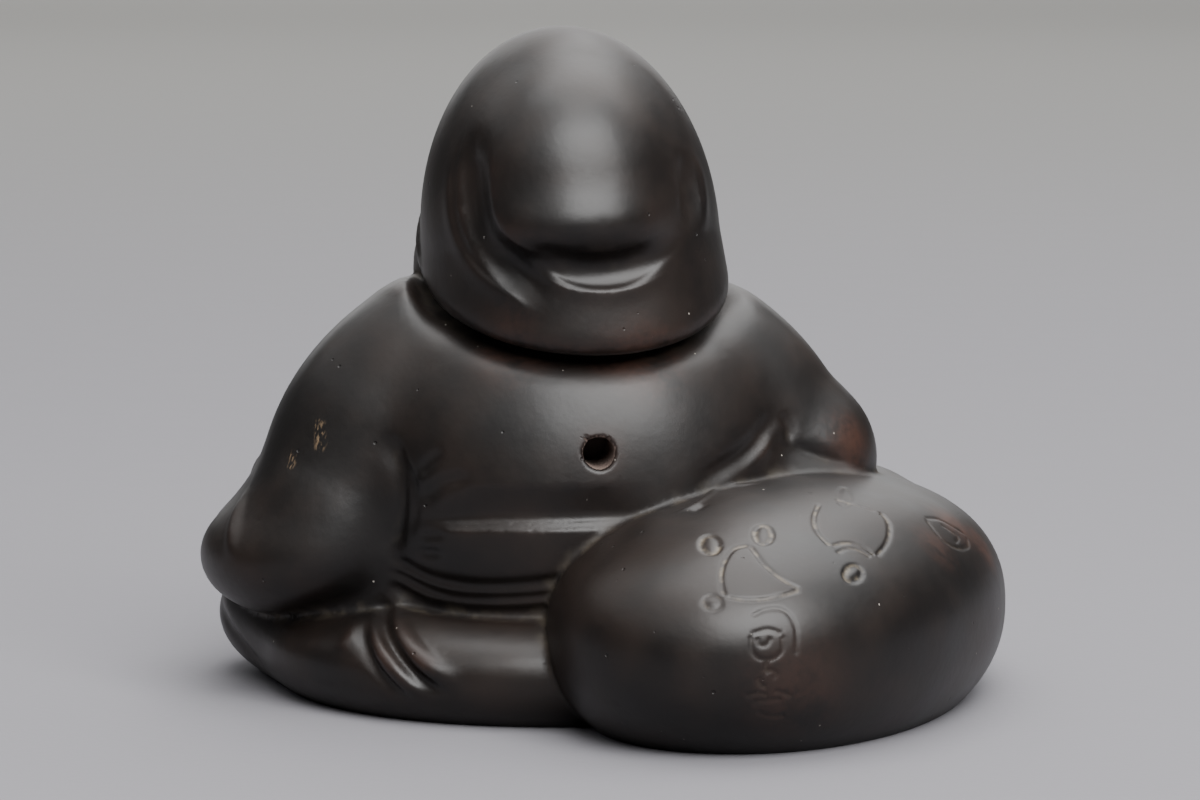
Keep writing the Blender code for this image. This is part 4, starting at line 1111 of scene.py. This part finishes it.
class FIGURE_OT_build(Operator):
    """Build the fine skin of the figure and its finish"""

    bl_idname = "figure.build"
    bl_label = "Figure"

    def execute(self, context):
        sizes = context.scene.figure_sizes
        plain = statue_field()
        values = far_from_skin(plain, GRID_LOW, GRID_HIGH, GRID_STEP)
        points, faces = outer_skin(*skin_of(values, GRID_LOW, GRID_STEP))
        points, faces = thinned(relaxed(points, faces, 2), faces, BASE_TRIANGLES)
        points = settled(points, plain)

        marks = mark_folds(sizes.mark_width / PART, sizes.mark_depth / PART)
        lips = folds_of(sack, LIP_LINES)
        lines = marks + lips + folds_of(clothes, ROBE_LINES) + folds_of(cap, CAP_LINES)
        lines += folds_of(sack, SACK_LINES) + folds_of(head, both_sides(FACE_LINES))
        mouth = vent_mouth()
        vent_size = (sizes.vent_diameter / PART, sizes.vent_depth / PART)
        around = [mouth + vent_size[0] / 2.0 * np.array((math.cos(a), 0.0, math.sin(a)))
                  for a in np.linspace(0.0, 2.0 * math.pi, RIM_SPOTS)]
        crowd = crowding(values, GRID_LOW, GRID_STEP, CROWD_REACH)
        wanted = edge_lengths(lines, around, crowd)
        whole = statue_field(marks + lips, vent_size)
        for _ in range(REFINE_ROUNDS):
            points, faces = refined(points, faces, wanted)
        points = settled(points, whole, rounds=3)

        mesh = bpy.data.meshes.new("figure")
        mesh.from_pydata((points * PART).tolist(), [], faces.tolist())
        mesh.update()
        cut_flat(mesh)
        places = np.array([v.co for v in mesh.vertices]) / PART
        keep_values(mesh, "crowding", crowd(places))
        depth = sum(fold_rise(places, *one) for one in marks) / (-sizes.mark_depth / PART)
        filled = np.interp(depth, RESIDUE_DEPTHS, (0.0, 1.0))
        keep_values(mesh, "mark", filled * np.interp(places[:, 2], RESIDUE_HEIGHTS, (LOW_RESIDUE, 1.0)))
        out = np.hypot(places[:, 0] - mouth[0], places[:, 2] - mouth[2])
        inward = mouth[1] - places[:, 1]
        deep = (out < VENT_REACH * vent_size[0]) & (places[:, 1] > 0.0) & (inward > VENT_LIP)
        keep_values(mesh, "vent", deep.astype(float))
        mesh.shade_smooth()
        mesh.set_sharp_from_angle(angle=SHARP_ANGLE)
        mesh.materials.append(clay_finish(context.scene.clay_colours))
        figure = bpy.data.objects.new("figure", mesh)
        context.scene.collection.objects.link(figure)
        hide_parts("daikoku_figure")
        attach(figure, "root")
        return {"FINISHED"}


class FIGURE_OT_stage(Operator):
    """Lay the floor, hang the lights and set up the camera"""

    bl_idname = "figure.stage"
    bl_label = "Stage"

    def execute(self, context):
        studio = context.scene.studio_settings
        bpy.ops.mesh.primitive_plane_add(size=studio.size)
        floor = context.object
        floor.name = "studio_floor"
        floor.data.materials.append(floor_finish(studio))
        world = bpy.data.worlds.new("studio")
        world.use_nodes = True
        background = world.node_tree.nodes["Background"]
        background.inputs["Color"].default_value = SKY_COLOUR
        background.inputs["Strength"].default_value = SKY_STRENGTH
        context.scene.world = world
        for name, place, size in LIGHTS:
            area_light(context, name, place, size, getattr(studio, name))
        camera(context)
        return {"FINISHED"}


SKY_COLOUR = (0.80, 0.82, 0.86, 1.0)
SKY_STRENGTH = 0.08

# Each light's name, which is also that of its power in the settings, its place and its width and length.
LIGHTS = (
    ("key", (-0.3, 0.97, 1.03), (1.3, 0.95)),
    ("overhead", (-0.2, -0.2, 1.3), (1.1, 1.5)),
    ("ceiling", (0.0, 0.0, 1.7), (5.0, 5.0)),
    ("far_light", (-0.4, -5.6, 2.8), (5.5, 4.5)),
)

# The camera stands behind the figure, a little to its left, and looks slightly down.
CAMERA_PLACE = (0.0855, 0.7371, 0.147)
CAMERA_TURN = math.radians(7.0)
CAMERA_PITCH = math.radians(7.2)
CAMERA_LENS = 121.98


def camera(context):
    data = bpy.data.cameras.new("camera")
    data.sensor_width = 36.0
    data.lens = CAMERA_LENS
    obj = bpy.data.objects.new("camera", data)
    obj.location = CAMERA_PLACE
    obj.rotation_euler = (math.pi / 2.0 - CAMERA_PITCH, 0.0, math.pi - CAMERA_TURN)
    context.scene.collection.objects.link(obj)
    context.scene.camera = obj


def area_light(context, name, place, size, power):
    """A wide panel of light that faces the figure."""
    data = bpy.data.lights.new(name, "AREA")
    data.shape = "RECTANGLE"
    data.size, data.size_y = size
    data.energy = power
    obj = bpy.data.objects.new(name, data)
    obj.location = place
    obj.rotation_euler = (-Vector(place)).to_track_quat("-Z", "Y").to_euler()
    context.scene.collection.objects.link(obj)


class FIGURE_PT_panel(Panel):
    bl_idname = "FIGURE_PT_panel"
    bl_label = "Seated figure"
    bl_space_type = "VIEW_3D"
    bl_region_type = "UI"
    bl_category = "Figure"

    def draw(self, context):
        layout = self.layout
        scene = context.scene
        for title, group in SETTINGS:
            box = layout.box()
            box.label(text=title)
            settings = getattr(scene, group)
            for name in settings.bl_rna.properties.keys():
                if name not in ("rna_type", "name"):
                    box.prop(settings, name)
        for operator in BUILDERS:
            layout.operator(operator.bl_idname)


SETTINGS = (("Sizes", "figure_sizes"), ("Clay", "clay_colours"), ("Studio", "studio_settings"))
BUILDERS = (FIGURE_OT_build, FIGURE_OT_stage)
CLASSES = (FigureSizes, ClayColours, StudioSettings, *BUILDERS, FIGURE_PT_panel)


def register():
    for one in CLASSES:
        bpy.utils.register_class(one)
    bpy.types.Scene.figure_sizes = PointerProperty(type=FigureSizes)
    bpy.types.Scene.clay_colours = PointerProperty(type=ClayColours)
    bpy.types.Scene.studio_settings = PointerProperty(type=StudioSettings)


def unregister():
    for _, group in SETTINGS:
        delattr(bpy.types.Scene, group)
    for one in reversed(CLASSES):
        bpy.utils.unregister_class(one)


def main():
    register()
    bpy.ops.figure.build()
    bpy.ops.figure.stage()


if __name__ == "__main__":
    main()
